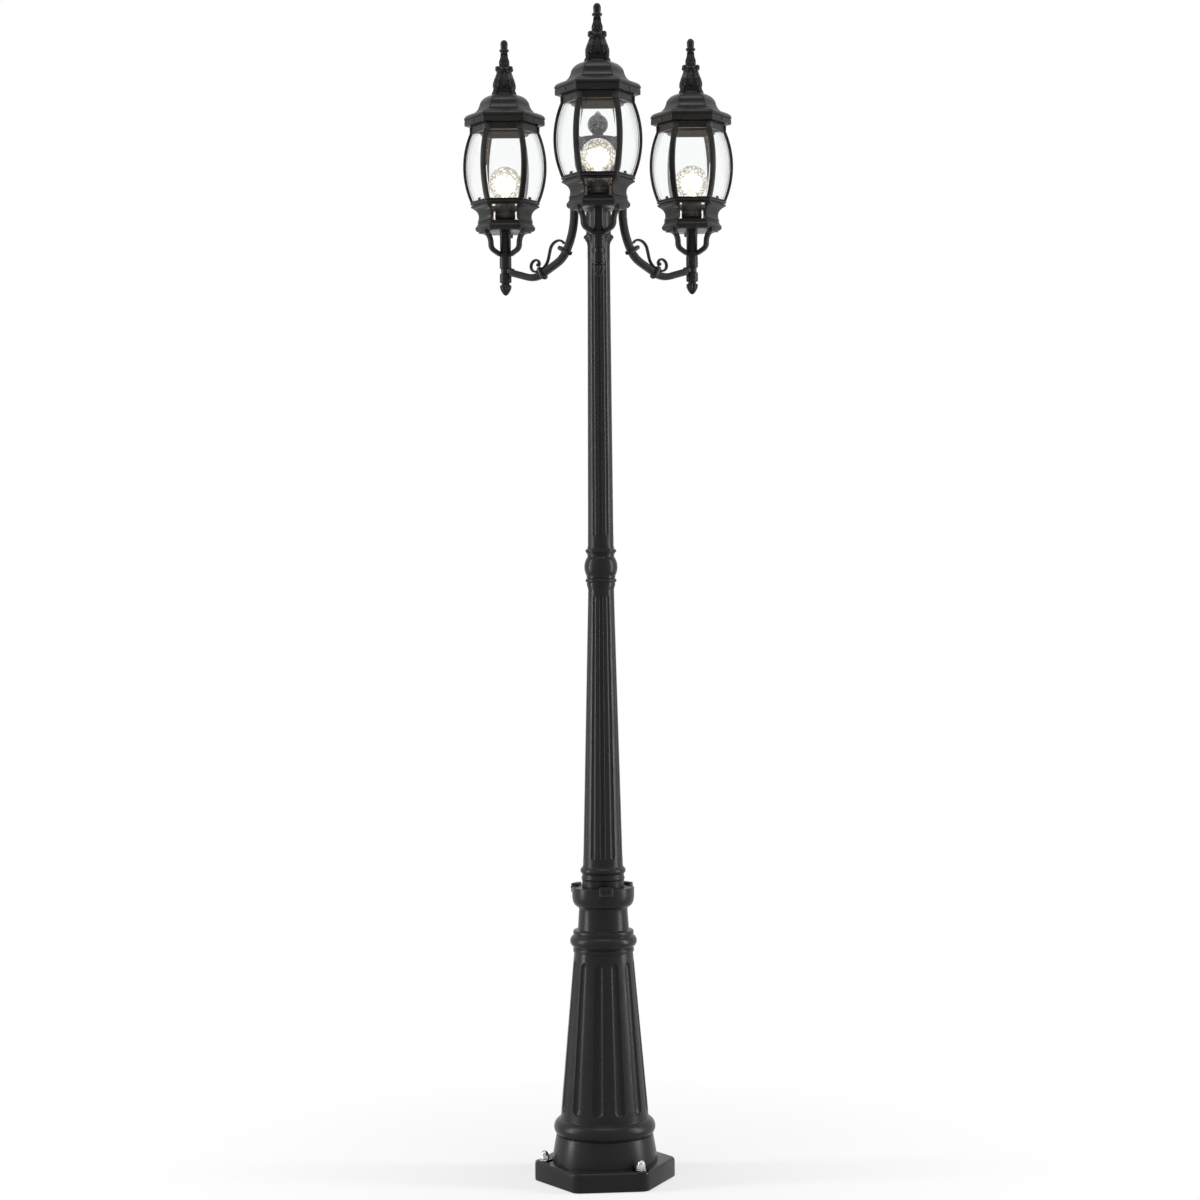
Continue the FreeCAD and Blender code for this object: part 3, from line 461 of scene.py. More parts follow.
def black_coat(name):
    """Satin powder coat: fine orange peel, uneven gloss, and sharp edges painted lighter, as a
    painted highlight and as wear.
    """
    material, tree, shader = new_material(name)
    patches = noise(tree, COAT_PATCH_SCALE, Detail=4.0)
    shape = tree.nodes.new("ShaderNodeNewGeometry")
    # sharp edges, found by pointiness, are painted lighter: a painted highlight, with wear
    edges = ramp(tree, shape.outputs["Pointiness"], 0.0, 1.0, *COAT_EDGE_HIGHLIGHT_FROM_TO)
    ground = blended(tree, patches, COAT, COAT_DUST)
    tree.links.new(blended(tree, edges, ground, COAT_EDGE_HIGHLIGHT_AND_WEAR), shader.inputs["Base Color"])
    tree.links.new(ramp(tree, patches, *COAT_ROUGHNESS), shader.inputs["Roughness"])
    settle(shader, Specular_IOR_Level=COAT_SPECULAR)
    bumped(tree, shader, noise(tree, COAT_PEEL_SCALE, Detail=2.0), 0.35, 0.00025)
    return material


def mottled(name, patch_scale, detail, dark, light, roughness):
    """Material, tree and shader of a surface with patches in its colour and its gloss."""
    material, tree, shader = new_material(name)
    patches = noise(tree, patch_scale, Detail=detail)
    tree.links.new(blended(tree, patches, dark, light), shader.inputs["Base Color"])
    tree.links.new(ramp(tree, patches, *roughness), shader.inputs["Roughness"])
    return material, tree, shader


def hammered_black(name):
    """Glossy black with a dimpled face, for the knob over the hub."""
    material, tree, shader = mottled(name, 40.0, 3.0, (0.010, 0.010, 0.010),
                                     (0.022, 0.021, 0.020), (0.10, 0.20))
    settle(shader, Specular_IOR_Level=0.45)
    bumped(tree, shader, cells(tree, 120.0, "SMOOTH_F1"), 1.0, 0.010)
    return material


def dark_plastic(name):
    material, tree, shader = mottled(name, 60.0, 2.0, (0.020, 0.020, 0.020),
                                     (0.032, 0.031, 0.030), (0.46, 0.6))
    bumped(tree, shader, noise(tree, 1400.0, Detail=2.0), 0.2, 0.0001)
    return material


def bare_metal(name, colour, grain, detail, roughness, bump=None):
    """Uncoated metal with fine marks. bump is their (strength, depth in metres)."""
    material, tree, shader = new_material(name)
    marks = noise(tree, grain, Detail=detail)
    settle(shader, Metallic=1.0, Base_Color=(*colour, 1.0))
    tree.links.new(ramp(tree, marks, *roughness), shader.inputs["Roughness"])
    if bump:
        bumped(tree, shader, marks, *bump)
    return material


def clear_glass(name):
    """Slightly rippled clear glass."""
    material, tree, shader = new_material(name)
    settle(shader, Base_Color=(0.97, 0.98, 0.98, 1.0), Transmission_Weight=1.0, IOR=PANE_IOR,
           Roughness=0.0)
    bumped(tree, shader, noise(tree, PANE_WAVE_SCALE, Detail=1.0), PANE_RIPPLE, 0.001)
    return material


def crackled_glass(name):
    """Clear bulb glass with a fine net of dark cracks and cloudy bands."""
    material, tree, shader = new_material(name)
    to_edge = cells(tree, CRACK_SCALE, "DISTANCE_TO_EDGE")
    crack = ramp(tree, to_edge, 1.0, 0.0, 0.03, 0.17)
    swirl = noise(tree, 60.0, Detail=3.0, Distortion=2.5)
    ground = blended(tree, ramp(tree, swirl, 0.0, 1.0, 0.42, 0.6), BULB_CLEAR, BULB_CLOUDY)
    tree.links.new(blended(tree, crack, ground, BULB_CRACK), shader.inputs["Base Color"])
    settle(shader, Transmission_Weight=1.0, IOR=BULB_IOR, Emission_Color=(*LIT, 1.0))
    tree.links.new(ramp(tree, to_edge, 0.22, 0.03, 0.0, 0.2), shader.inputs["Roughness"])
    tree.links.new(ramp(tree, crack, 0.16, 0.03, 0.0, 1.0), shader.inputs["Emission Strength"])
    bumped(tree, shader, to_edge, 0.9, 0.0022)
    return material


def glowing(name):
    """Hazy light of the lit bulb, uneven so that it doesn't look like a disc."""
    material, tree, shader = new_material(name)
    haze = noise(tree, 48.0, Detail=4.0, Distortion=2.0)
    settle(shader, Base_Color=(*LIT, 1.0), Emission_Color=(*LIT, 1.0))
    tree.links.new(ramp(tree, haze, *GLOW_STRENGTH, 0.38, 0.56),
                   shader.inputs["Emission Strength"])
    return material


BLACK = black_coat("black_coat")
KNOB = hammered_black("knob_black")
STEEL = bare_metal("bright_steel", STEEL_COLOUR, 700.0, 3.0, STEEL_ROUGHNESS, (0.12, 0.0001))
PANE = clear_glass("pane_glass")
BULB = crackled_glass("bulb_glass")
GLOW = glowing("bulb_glow")
CAP = bare_metal("bulb_cap", CAP_COLOUR, 500.0, 2.0, CAP_ROUGHNESS)
PLASTIC = dark_plastic("lamp_holder")


# ---- post
def fluted(foot, top, flutes, half_width, depth, first):
    """Tapered shaft between two (radius, height) ends, with round-ended scooped flutes.

    flutes gives the heights at which they start and end, half_width and depth their size
    at the foot, and first the direction of the first one.
    """
    (foot_radius, foot_height), (top_radius, top_height) = foot, top
    flute_low, flute_high = flutes
    ease = [half_width * (1.0 - math.cos(math.radians(90 * k / 9))) for k in range(10)]
    heights = [foot_height, flute_low - 0.3] + [flute_low + e for e in ease]
    heights += [flute_low + (flute_high - flute_low) * k / 12 for k in range(1, 12)]
    heights += [flute_high - e for e in reversed(ease)] + [flute_high + 0.3, top_height]
    rings = []
    for z in sorted(heights):
        radius = foot_radius + (top_radius - foot_radius) * (z - foot_height) / (
            top_height - foot_height)
        near = min(z - flute_low, flute_high - z)
        if near <= 0:
            opening = LEAST_OPENING
        elif near >= half_width:
            opening = 1.0
        else:
            opening = max(LEAST_OPENING, math.sqrt(1.0 - (1.0 - near / half_width) ** 2))
        reach = half_width / foot_radius * opening
        sink = depth * radius / foot_radius * (opening if near > 0 else 0.0)
        spare = 2.0 * math.pi / FLUTES - 2.0 * reach
        ring = []
        for i in range(FLUTES):
            centre = math.radians(first + 360.0 * i / FLUTES)
            for s in (-1.0, -0.9, -0.7, -0.35, 0.0, 0.35, 0.7, 0.9, 1.0):
                ring.append(polar(radius - sink * (1.0 - s * s) ** 0.65, centre + s * reach, z))
            ring += [polar(radius, centre + reach + spare * s, z) for s in (0.2, 0.5, 0.8)]
        rings.append(ring)
    return Form().grid(rings)


def base_casting():
    corner, top = FOOT_CORNER, FOOT_HEIGHT
    form = six_sided(eased([(0, 0.2), (corner - 1, 0.2), (corner, 2), (corner, top - 3.5),
                            (corner - 3.5, top), (0, top)], 3.0, 4), edge=9.0)
    bell = [(105.6, top - 1), (105.6, top + 1), (96.5, 90)]
    bell += bead(104.8, 83.3, 18.0, -52, 68, 16) + [(88.2, 122.5), (88.0, 125)]
    form.add(lathe(eased(bell, 1.6), 120))
    form.add(fluted((88.0, 122), (58.9, 453), (137, 437), 11.5, 5.0, -75))
    upper = [(58.9, 452.9), (59.4, 453.2), (60.8, 454), (60.8, 460.5), (59.4, 461.5)]
    upper += bead(475.0, 53.8, 13.0, -66, 62, 16)
    upper += [(59.6, 487.5), (60.6, 490), (60.6, 494), (59.4, 496.5), (52.5, 497.5), (51.0, 499)]
    upper += [(48.5, 539), (50.5, 542.5), (56.5, 546.5), (60.0, 552), (61.4, 558), (62.0, 564)]
    upper += [(62.0, 581), (61.0, 582.4), (43.4, 582.4), (42.3, 581.4), (42.3, 553)]
    form.add(lathe(eased(upper, 1.0), 120))
    lug = block(12.0, 27.0, 18.0, 2.0)
    for angle in LUG_ANGLES:
        form.add(lug, spin(angle) @ shift(59.0, 0, 570.0))
    boss = lathe(eased([(0, top - 0.5), (19, top - 0.5), (17.5, top), (16.5, top), (0, top)],
                       0.8), 40)
    for angle in BOLT_ANGLES:
        form.add(boss, spin(angle) @ shift(BOLT_RADIUS, 0, 0))
    return form


def pan_head(radius, height):
    """Screw head with a straight slot, made along +Z."""
    form = lathe(eased([(0.01, 0), (radius, 0), (radius, height * 0.5),
                        (radius * 0.75, height * 0.9), (0.01, height)], 0.5), 24)
    slot_block = block(radius * 1.7, radius * 0.22, height * 0.12, 0.05, 1)
    return form.add(slot_block, shift(0, 0, height * 0.92))


def socket_head(radius, height):
    """Cap screw with a six-sided socket, made along +Z."""
    wall = [(0.01, 0), (radius, 0), (radius, height - 0.5), (radius - 0.5, height),
            (radius * 0.56, height)]
    form = lathe(eased(wall, 0.3), 24)
    return form.add(Form().grid([ring_of(radius * 0.56, height, 6),
                                 ring_of(radius * 0.5, height * 0.4, 6),
                                 ring_of(0.01, height * 0.4, 6)]))


def acorn_nut():
    corner = NUT_ACROSS_FLATS / 2.0 / FLAT
    form = Form().tube([ring_of(corner * share, z, 6)
                        for z, share in ((0, 0.94), (0.8, 1.0), (8.2, 1.0), (9.2, 0.93))])
    dome = [(8.0, 8.6)] + arc((8.0, 9.4), (5.9, 15.4), (0.01, 18.5), 10)
    return form.add(lathe(dome, 36))


def washer():
    return lathe(closed([(5.6, 0), (11.0, 0), (11.0, WASHER), (5.6, WASHER)], 0.5), 40)


def at_bolts(form, height):
    """The form at each bolt, turned a little differently at each."""
    whole = Form()
    for i, angle in enumerate(BOLT_ANGLES):
        whole.add(form, spin(BASE_TURN + angle) @ shift(BOLT_RADIUS, 0, height)
                  @ spin(17.0 * i + 8.0))
    return whole


def pole_lower():
    foot = [(41.8, 553), (41.8, 596), (43.0, 598), (43.4, 600.5), (43.0, 603), (41.8, 604.5),
            (41.8, 607)]
    foot += bead(615.4, 38.3, 7.0, -60, 60, 12) + [(40.2, 624), (39.8, 627)]
    form = lathe(eased(foot, 0.8), 96)
    form.add(fluted((39.8, 627), (25.95, 1176), (639, 1165), 5.6, 2.2, FRONT))
    top = [(25.9, 1176), (26.6, 1179), (28.8, 1187.5)] + bead(1194.4, 27.0, 4.2, -75, 75, 10)
    top += [(28.8, 1201), (28.8, 1204)]
    top += arc((28.8, 1204), (33.2, 1222), (28.2, 1240), 16)
    top += [(26.9, 1241.5), (26.9, 1246.5), (28.4, 1248)] + bead(1253.4, 27.2, 4.0, -75, 75, 10)
    top += [(27.0, 1258.5), (26.2, JOINT)]
    return form.add(lathe(top, 96))


def pole_upper():
    form = fluted((25.8, JOINT), (22.5, 1863), (JOINT + 21, 1838), 3.8, 1.2, FRONT)
    collar = [(22.4, 1862), (22.9, 1866), (24.4, 1871.5), (27.0, 1875)]
    collar += bead(1880.6, 25.6, 4.4, -68, 75, 12)
    collar += [(25.2, 1887), (24.6, 1890), (25.0, 1893), (25.0, HUB_SEAT)]
    return form.add(lathe(collar, 96))


def hub():
    outline = above(HUB_SEAT, (24.9, -0.5), (27.0, 0.5)) + [(39.6, 1949), (HUB_RADIUS, 1953)]
    outline += above(HUB_TOP, (HUB_RADIUS, -7), (40.3, -6), (HUB_RADIUS, -4.6))
    outline += arc(*above(HUB_TOP, (HUB_RADIUS, -4.6), (39.8, -1.4), (36.5, 0)), 6)
    return lathe(eased(outline + [(0.01, HUB_TOP + 0.6)], 1.2), 96)


def hub_knob():
    outline = above(HUB_TOP, (0.01, 0), (13.5, 0), (13.5, 2.4), (11.4, 4), (10.6, 8))
    outline += bead(KNOB_HEIGHT, 0, 20.5, -56, POLE, 26)
    return lathe(eased(outline, 0.8), 64)


# ---- arms
def arm_path():
    path = Path((HUB_RADIUS - 1.5, ARM_ROOT), 0)
    path.to(*above(ARM_ROOT, (41.0, 0), (56, -15), (56, -50)))
    path.to(*above(EYE_LOW, (75.5, 36), (98, 13), (131, -5.8), (168, -10)))
    return path.to((REACH - 5, EYE_LOW + 3.5))


def scroll_path():
    start, *rest = above(EYE_LOW, (80.5, 52), (93.8, 59), (113, 42), (117.6, 23.5), (126.5, 8.5),
                         (135, 2.9), (146, -0.4), (158.8, 11), (148, 23), (139.3, 16),
                         (141.2, 12.2))
    return Path(start, 62).to(*rest)


def arm():
    """Bar with a boss at the hub, a tongue and an eye."""
    form = arm_path().bar(ARM_BAR, ARM_BAR, 2.6, until=REACH - 12.5)
    boss = [(0.01, 0), (12.5, 0), (12.5, 4.0), (10.5, 6.0), (0.01, 6.0)]
    form.add(lathe(eased(boss, 1.2), 40), outward(0, HUB_RADIUS - 2.0, ARM_ROOT))
    tongue = block(12.0, 12.6, EYE_HIGH - EYE_LOW - 0.4, 0.9)
    form.add(tongue, shift(REACH - 12.0, 0, EYE_LOW + 0.2))
    eye = above(EYE_LOW, (BORE, 0.02), (9.5, 0.02)) + above(EYE_HIGH, (9.5, -0.02), (BORE, -0.02))
    return form.add(lathe(closed(eye, 0.8), 40), shift(REACH, 0, 0))


def scroll():
    """Flat bar, thicker in its last tenth, with a small pin in its curl."""
    def thicker(share):
        return 1.0 + 0.35 * max(0.0, (share - 0.9) / 0.1), 1.0

    form = scroll_path().bar(4.5, 8.0, 1.7, thicker, 7.0)
    pin = lathe(eased([(0.01, -4.2), (3.6, -4.2), (3.6, 4.2), (0.01, 4.2)], 1.4), 20)
    return form.add(pin, shift(141.6, 0, EYE_LOW + 12.6) @ Matrix.Rotation(QUARTER, 4, "X"))


def clip(x, z, tilt, over, under):
    """Strap round the bar and the scroll, with rounded ends, and its place."""
    band = rounded(24.4, 20.0, 2.4)
    ends = ((-4.0, 1.2), (-3.6, 0.4), (-2.8, 0.0), (2.8, 0.0), (3.6, 0.4), (4.0, 1.2))
    form = Form().tube([[(along, v * (1 - inset / 10), u * (1 - inset / 11) + 2.2)
                         for u, v in band] for along, inset in ends])
    for height, start, turn in ((over, 12.6, 0.0), (under, -8.2, math.pi)):
        end = block(8.4, 16.4, height, 3.2, 4)
        form.add(end, shift(0, 0, start) @ Matrix.Rotation(turn, 4, "X"))
    return form, shift(x, 0, z) @ Matrix.Rotation(math.radians(-tilt), 4, "Y")


def arm_clips():
    whole = Form()
    for settings in ((75.8, EYE_LOW + 36, -60, 6.0, 3.4), (131.5, EYE_LOW - 6, -27, 1.6, 3.4)):
        whole.add(*clip(*settings))
    return whole


# ---- lanterns
def drop_finial():
    outline = above(DROP_TIP, (0.01, 0), (2.5, 0.8), (5.4, 3.4), (8.2, 7.4), (10.6, 12),
                    (11.9, 16.5), (12.0, 19.5), (11.0, 21.4), (8.6, 22.4), (7.9, 24),
                    (8.3, 25.6), (11.2, 26.4), (12.1, 27.6))
    outline += above(EYE_LOW, (12.1, -1.2), (11.3, -0.05), (BORE, -0.05))

    def dip(r, z, angle):
        petals = 1.7 if z < DROP_TIP + 19 else 0.0
        return min(petals * abs(math.sin(angle * 4.0)) ** 6, r * 0.3)

    return Form().grid(scalloped(eased(outline, 0.6), dip))


def upper_sleeve():
    outline = above(EYE_HIGH + 0.05, (BORE, 0), (11.0, 0), (12.1, 1.2))
    outline += above(SLEEVE_TOP, (12.1, -3.6), (11.4, -3.0), (11.4, -2.2), (12.1, -1.6),
                     (11.8, -0.05), (BORE, -0.05))
    return lathe(eased(outline, 0.5), 48)


def stem():
    outline = [(4.9, low("front_stem")), (4.9, SLEEVE_TOP), (11.3, SLEEVE_TOP)]
    outline += above(STEM_TOP, (11.3, -6), (12.6, -5), (12.6, -1), (11.3, 0), (0.01, 0))
    return lathe(eased(outline, 0.5), 48)


def strip(corner, across, height, direction):
    """Point on a flat of a lantern: its corner radius there, and how far across it."""
    return turned(corner * FLAT, across, math.radians(direction), height)


def at_height(outline, height):
    """Corner radius of an outline, whose heights rise, at a height."""
    for (r0, z0), (r1, z1) in zip(outline, outline[1:]):
        if z0 <= height <= z1 and z1 > z0:
            return r0 + (r1 - r0) * (height - z0) / (z1 - z0)
    return outline[-1][0] if height > outline[-1][1] else outline[0][0]


def gallery():
    foot, top = GALLERY_FOOT, GALLERY_TOP
    low_z, high_z, half_window = foot + 17, foot + 48, 25.5
    floor = above(foot, (11.8, 4), (11.8, -2), (56.6, -2), (58.4, -1.2))
    floor += arc(*above(foot, (58.4, -1.2), (62.2, 4.4), (59.8, 9.6)), 8)
    floor += above(foot, (58.6, 10.2), (58.8, 11.2), (58.4, 12.6), (56.2, 14.0), (57.0, 15.4),
                   (58, 17), (53.0, 17), (53.0, 4), (11.8, 4))
    form = six_sided(floor, edge=3.0)

    outer = [(58.0, low_z)] + arc((58, low_z), (54, foot + 28), (60, top - 11.5), 12)
    outer += above(top, (61.4, -10.4), (64, -8.6), (65.6, -8.0), (66.2, -7.0), (69.2, -5.9),
                   (70, -5), (70, -2.6), (69.2, -1.8), (67.0, -1.5), (67.0, 0))
    inner = [(53.0, low_z)] + arc((53, low_z), (49.4, foot + 28), (55.5, top - 11.5), 10)
    inner += [(62.5, top)]
    skins = (outer, inner)
    levels = sorted({round(z, 3) for _, z in outer + inner} | {high_z})

    def wall(outline, direction, first, last, lowest, highest):
        rows = []
        for z in [z for z in levels if lowest <= z <= highest]:
            r = at_height(outline, z)
            ends = [side if abs(side) > 1 else side * r / 2.0 for side in (first, last)]
            rows.append([strip(r, ends[0] + (ends[1] - ends[0]) * s / 4.0, z, direction)
                         for s in range(5)])
        form.grid(rows, ring=False)

    for k in range(6):
        direction, window = flat_angle(k), k in WINDOW_FLATS
        for skin in skins:
            wall(skin, direction, -1, 1, high_z if window else low_z, top)
        if not window:
            continue
        for side in (-1, 1):
            for skin in skins:
                wall(skin, direction, side, side * half_window, low_z, high_z)
            form.grid([[strip(at_height(skin, z), side * half_window, z, direction)
                        for skin in skins] for z in levels if z <= high_z], ring=False)
        form.grid([[strip(at_height(skin, high_z), half_window * s / 2.0, high_z, direction)
                    for s in range(-2, 3)] for skin in skins], ring=False)
    form.add(six_sided([(67.0, top), (62.5, top)], edge=0.0))

    leg = Path((53.5, foot - 2.2), 180)
    leg.to(*above(foot, (36.4, -13), (33.2, -28)))
    leg.to(*above(LEG_RING_TOP, (26.0, 5.2), (12.8, -2.2)))

    def webbed(share):
        root = max(0.0, 1.0 - share / 0.3)
        return 1.0 + 0.25 * root, 1.0 + 1.5 * root ** 1.4

    bar = leg.bar(8.6, 11.0, 2.0, webbed, 6.0)
    for k in LEG_FLATS:
        form.add(bar, spin(flat_angle(k)))
    ring = above(SLEEVE_TOP, (11.5, 0.1), (14.2, 0.1), (15.0, 1.2))
    ring += above(LEG_RING_TOP, (15.0, -1.2), (14.2, 0), (11.5, 0))
    return form.add(lathe(closed(ring, 0.6), 48))


def bowed(foot_corner, belly, low_z, high_z, steps):
    """(corner radius, height, lean) up a rib or a pane."""
    line = [(foot_corner, low_z)]
    line += arc((foot_corner, low_z), (belly, BELLY_HEIGHT), (foot_corner, high_z), steps)
    places = []
    for i, (r, z) in enumerate(line):
        r0, z0 = line[max(0, i - 1)]
        r1, z1 = line[min(len(line) - 1, i + 1)]
        places.append((r, z, math.atan2(r1 - r0, z1 - z0)))
    return places


def cage():
    inside = 61.5
    rim = above(GALLERY_TOP, (inside, 0), (70.4, 0), (72, 1.2), (72, 3), (70.8, 3.8),
                (70.8, 4.4), (71.9, 5.2))
    rim += above(RIM_TOP, (71.7, -0.5), (70.8, 0), (inside, 0))
    form = six_sided(rim + rim[:1], edge=3.0)
    ring = above(CAGE_TOP, (inside, 0), (69.6, 0), (70.8, 1.2))
    ring += above(BRIM_FOOT, (70.8, -1.5), (69.8, -0.2), (67, -0.2))
    ring += [(67, COLLAR_TOP), (inside, COLLAR_TOP)]
    form.add(six_sided(ring + ring[:1], edge=3.0))
    section = rounded(RIB_DEPTH, 11.5, 1.6, 3)
    rows = [[(r - RIB_DEPTH / 2 + u * math.cos(lean), v, z - u * math.sin(lean))
             for u, v in section]
            for r, z, lean in bowed(71.0, 85.3, RIM_TOP - 0.5, CAGE_TOP + 0.5, 20)]
    rib, boss, tab = Form().tube(rows), block(14.5, 4.6, 11.0, 1.3), block(2.6, 9.0, 5.5, 0.9)
    for k in range(6):
        form.add(rib, spin(60.0 * k))
        form.add(boss, spin(60.0 * k) @ shift(69.0, 0, CAGE_TOP + 1.5) @ spin(90))
    for k in LEG_FLATS:
        form.add(tab, spin(flat_angle(k)) @ shift(59.3, 0, RIM_TOP - 0.5))
    return form


def glass_panes():
    """Bowed panes with bevelled borders."""
    whole = Form()
    stations = bowed(64.7, 79.7, RIM_TOP, CAGE_TOP - 0.3, 24)
    across = (-1.0, -0.86, -0.83, -0.4, 0.0, 0.4, 0.83, 0.86, 1.0)
    for k in range(6):
        loops = []
        for i, (r, z, lean) in enumerate(stations):
            share = i / (len(stations) - 1)
            end = min(share, 1.0 - share) * (CAGE_TOP - RIM_TOP)
            back = r - PANE_THICKNESS / FLAT
            outer, inner = [], []
            for s in across:
                border = min(1.0, (1.0 - abs(s)) / 0.14, end / 6.0)
                outer.append(strip(r - (1.0 - border) * PANE_BEVEL / FLAT,
                                   (r / 2.0 - PANE_GAP) * s, z, flat_angle(k)))
                inner.append(strip(back, (back / 2.0 - PANE_GAP) * s, z, flat_angle(k)))
            loops.append(outer + inner[::-1])
        whole.tube(loops)
    return whole


def roof():
    lip, foot = 68.0, BRIM_FOOT
    outline = above(foot, (lip, 0), (79.5, 0), (82.2, 0.7), (83.0, 2.0), (83.0, 10.6),
                    (81.8, 11.2), (81.8, 12.2), (83.7, 12.9), (83.8, 15.0), (83.3, 16.8),
                    (81.8, 19.2), (79.4, 21.3), (76.2, 23.2), (72.2, 24.8), (67.0, 26.4),
                    (62.6, 27.6), (60.6, 28.2), (60.2, 29.2), (60.2, 30.2), (58.2, 31.0))
    outline += arc(*above(foot, (58.2, 31.0), (54.2, 37.2), (51.2, 46.5)), 8)
    outline += arc((51.2, foot + 46.5), (44.6, ROOF_TOP - 9.2), (30, ROOF_TOP - 2), 12)
    outline += above(ROOF_TOP, (25.6, -1.2), (25.0, -0.2), (0.01, -0.2))
    inside = above(ROOF_TOP, (0.01, -4), (24, -6), (38, -13))
    inside += above(foot, (46, 44), (52, 33), (58, 24), (74, 18), (79, 12), (79, 4), (76, 3),
                    (lip, 3), (lip, 0))
    return six_sided(outline + inside, edge=2.6)


def ball(radial, across, tall):
    """Egg with its half axes outward, sideways and up."""
    rows = []
    for i in range(1, 12):
        angle = math.pi * i / 12 - math.pi / 2
        rows.append([(radial * x, across * y, tall * math.sin(angle))
                     for x, y, z in ring_of(math.cos(angle), 0, 16)])
    return Form().tube(rows)


def leaf(line, width, lobes):
    """Acanthus leaf up a line of (rise, radius): ribbed, with cut edges."""
    first, last = line[0][0], line[-1][0]
    rings = []
    rows, columns = 24, 8
    for i in range(rows + 1):
        t = i / rows
        rise = first + (last - first) * t
        radius = at_height([(r, z) for z, r in line], rise)
        cut = 1.0 - 0.24 * abs(math.sin(math.pi * lobes * t)) ** 0.6
        half = width / 2.0 * math.sin(math.pi * min(1.0, 0.24 + 0.70 * t) ** 0.9) ** 0.7 * cut
        outer, inner = [], []
        for k in range(columns + 1):
            s = 2.0 * k / columns - 1.0
            vein = 0.9 * (1.0 - min(1.0, abs(s) / 0.2))
            fold = 1.1 * (1.0 - abs(s)) + vein - 0.5 * math.cos(5.0 * math.pi * abs(s) + 9.0 * t)
            r = radius - 0.2 + 0.62 * fold
            angle = s * half / radius
            z = ROOF_TOP + rise - 0.8 * abs(s) * half / 3.0
            outer.append(polar(r, angle, z))
            inner.append(polar(radius - 2.4, angle, z))
        rings.append(outer + inner[::-1])
    return Form().tube(rings)


def square_rows(stations):
    """Rings of a four-sided block with (half width, rise) stations on the roof's top."""
    return [[(x, y, ROOF_TOP + rise) for x, y in rounded(2 * half, 2 * half, min(3.0, half * 0.5))]
            for half, rise in stations]


def spire():
    """Four legs round a ribbed block, two tiers of leaves, a ring and a bud."""
    foot = ROOF_TOP
    stations = [(17.6, -3.0), (17.6, 1.0)]
    for k in range(4):
        ridge = 1.2 + 2.9 * k
        stations += [(19.8 - 0.2 * k, ridge), (19.8 - 0.2 * k, ridge + 1.3),
                     (17.8 - 0.2 * k, ridge + 1.8), (17.8 - 0.2 * k, ridge + 2.6)]
    stations += [(19.2, 13.4), (19.6, 17.0), (19.2, 22.0), (17.6, 29.0), (15.2, 36.0),
                 (12.4, 43.0), (11.6, 49.0), (9.4, 54.0), (7.6, 58.0)]
    form = Form().tube(square_rows(stations))
    leg_sizes = ((-4.6, 32.4, 8.8), (-1.0, 32.2, 8.6), (1.4, 31.0, 7.6), (4.0, 29.6, 6.6),
                 (8.0, 28.8, 6.2), (14.0, 28.2, 6.4), (20.0, 26.6, 7.0), (26.0, 24.6, 7.0))
    leg = Form().tube([[(radius - 3.0 + u, v, foot + rise)
                        for u, v in rounded(6.0, width, 1.5, 2)]
                       for rise, radius, width in leg_sizes])
    core = above(foot, (7.8, 52), (8.4, 58), (7.8, 61), (8.2, 68), (6.2, 79), (5.6, 84),
                 (6.2, 87.2))
    core += bead(foot + 89.8, 7.0, 3.0, -70, 70, 8)
    core += above(foot, (6.6, 92.6), (5.6, 93.8), (0.01, 94))
    form.add(lathe(core, 48))
    bud = above(foot, (3.0, 92), (6.0, 93), (7.1, 95), (7.4, 99), (7.6, 103), (6.9, 106.5),
                (5.4, 109.5), (3.0, 111.3), (0.4, 112))
    form.tube(scalloped(bud, lambda r, z, angle: 0.16 * r * abs(math.sin(angle * 3.0)) ** 5))
    corner_leaf = leaf([(15, 26.2), (19, 26.6), (24, 25.9), (30, 23.6), (37, 20.0), (44, 17.2),
                        (48, 17.0), (54, 20.4)], 20.0, 5.0)
    face_leaf = leaf([(14, 20.6), (20, 21.4), (28, 19.6), (36, 16.8), (44, 13.8), (48, 13.6),
                      (52, 15.4)], 19.0, 4.0)
    upper_leaf = leaf([(54, 10.2), (60, 9.6), (68, 9.4), (76, 7.2), (84, 6.0)], 9.6, 3.0)
    bract = leaf([(57, 9.6), (63, 9.4), (70, 8.6), (79, 6.6), (87, 6.4)], 6.8, 3.0)
    for k in range(4):
        corner, face = spin(90.0 * k + 45.0), spin(90.0 * k)
        form.add(leg, corner)
        form.add(corner_leaf, corner)
        form.add(ball(4.2, 5.6, 3.9), corner @ shift(18.8, 0, foot + 52.2))
        form.add(face_leaf, face)
        form.add(ball(3.6, 5.0, 3.3), face @ shift(15.0, 0, foot + 50.6))
    for k in range(6):
        form.add(upper_leaf, spin(60.0 * k))
        form.add(ball(2.2, 3.0, 2.6), spin(60.0 * k + 30.0) @ shift(9.0, 0, foot + 60.0))
        form.add(bract, spin(60.0 * k + 30.0))
    return form


def lamp_holder():
    outline = above(STEM_TOP, (0.01, 0), (17.5, 0), (19.6, 1.6), (20.7, 4), (20.7, 12),
                    (20.1, 13), (20.1, 14), (20.7, 15))
    outline += above(HOLDER_TOP, (20.7, -4), (20.2, -1), (19.2, 0), (14.6, 0), (13.5, -1.2))
    return lathe(eased(outline + [(13.3, CAP_FOOT), (0.01, CAP_FOOT)], 0.5), 56)


def bulb_base():
    """Screw cap, with ribs that stand for its thread."""
    outline = above(CAP_FOOT, (0.01, 0.02), (4.6, 0.02), (5.2, 1.2), (11.4, 5))
    z = CAP_FOOT + 5.5
    while z < CAP_TOP - 4.5:
        outline += above(z, (12.2, 0), (13.0, 1.2), (13.0, 1.8), (12.2, 3.0))
        z += THREAD_PITCH
    return lathe(outline + above(CAP_TOP, (12.6, -1.0), (12.6, 0)), 40)


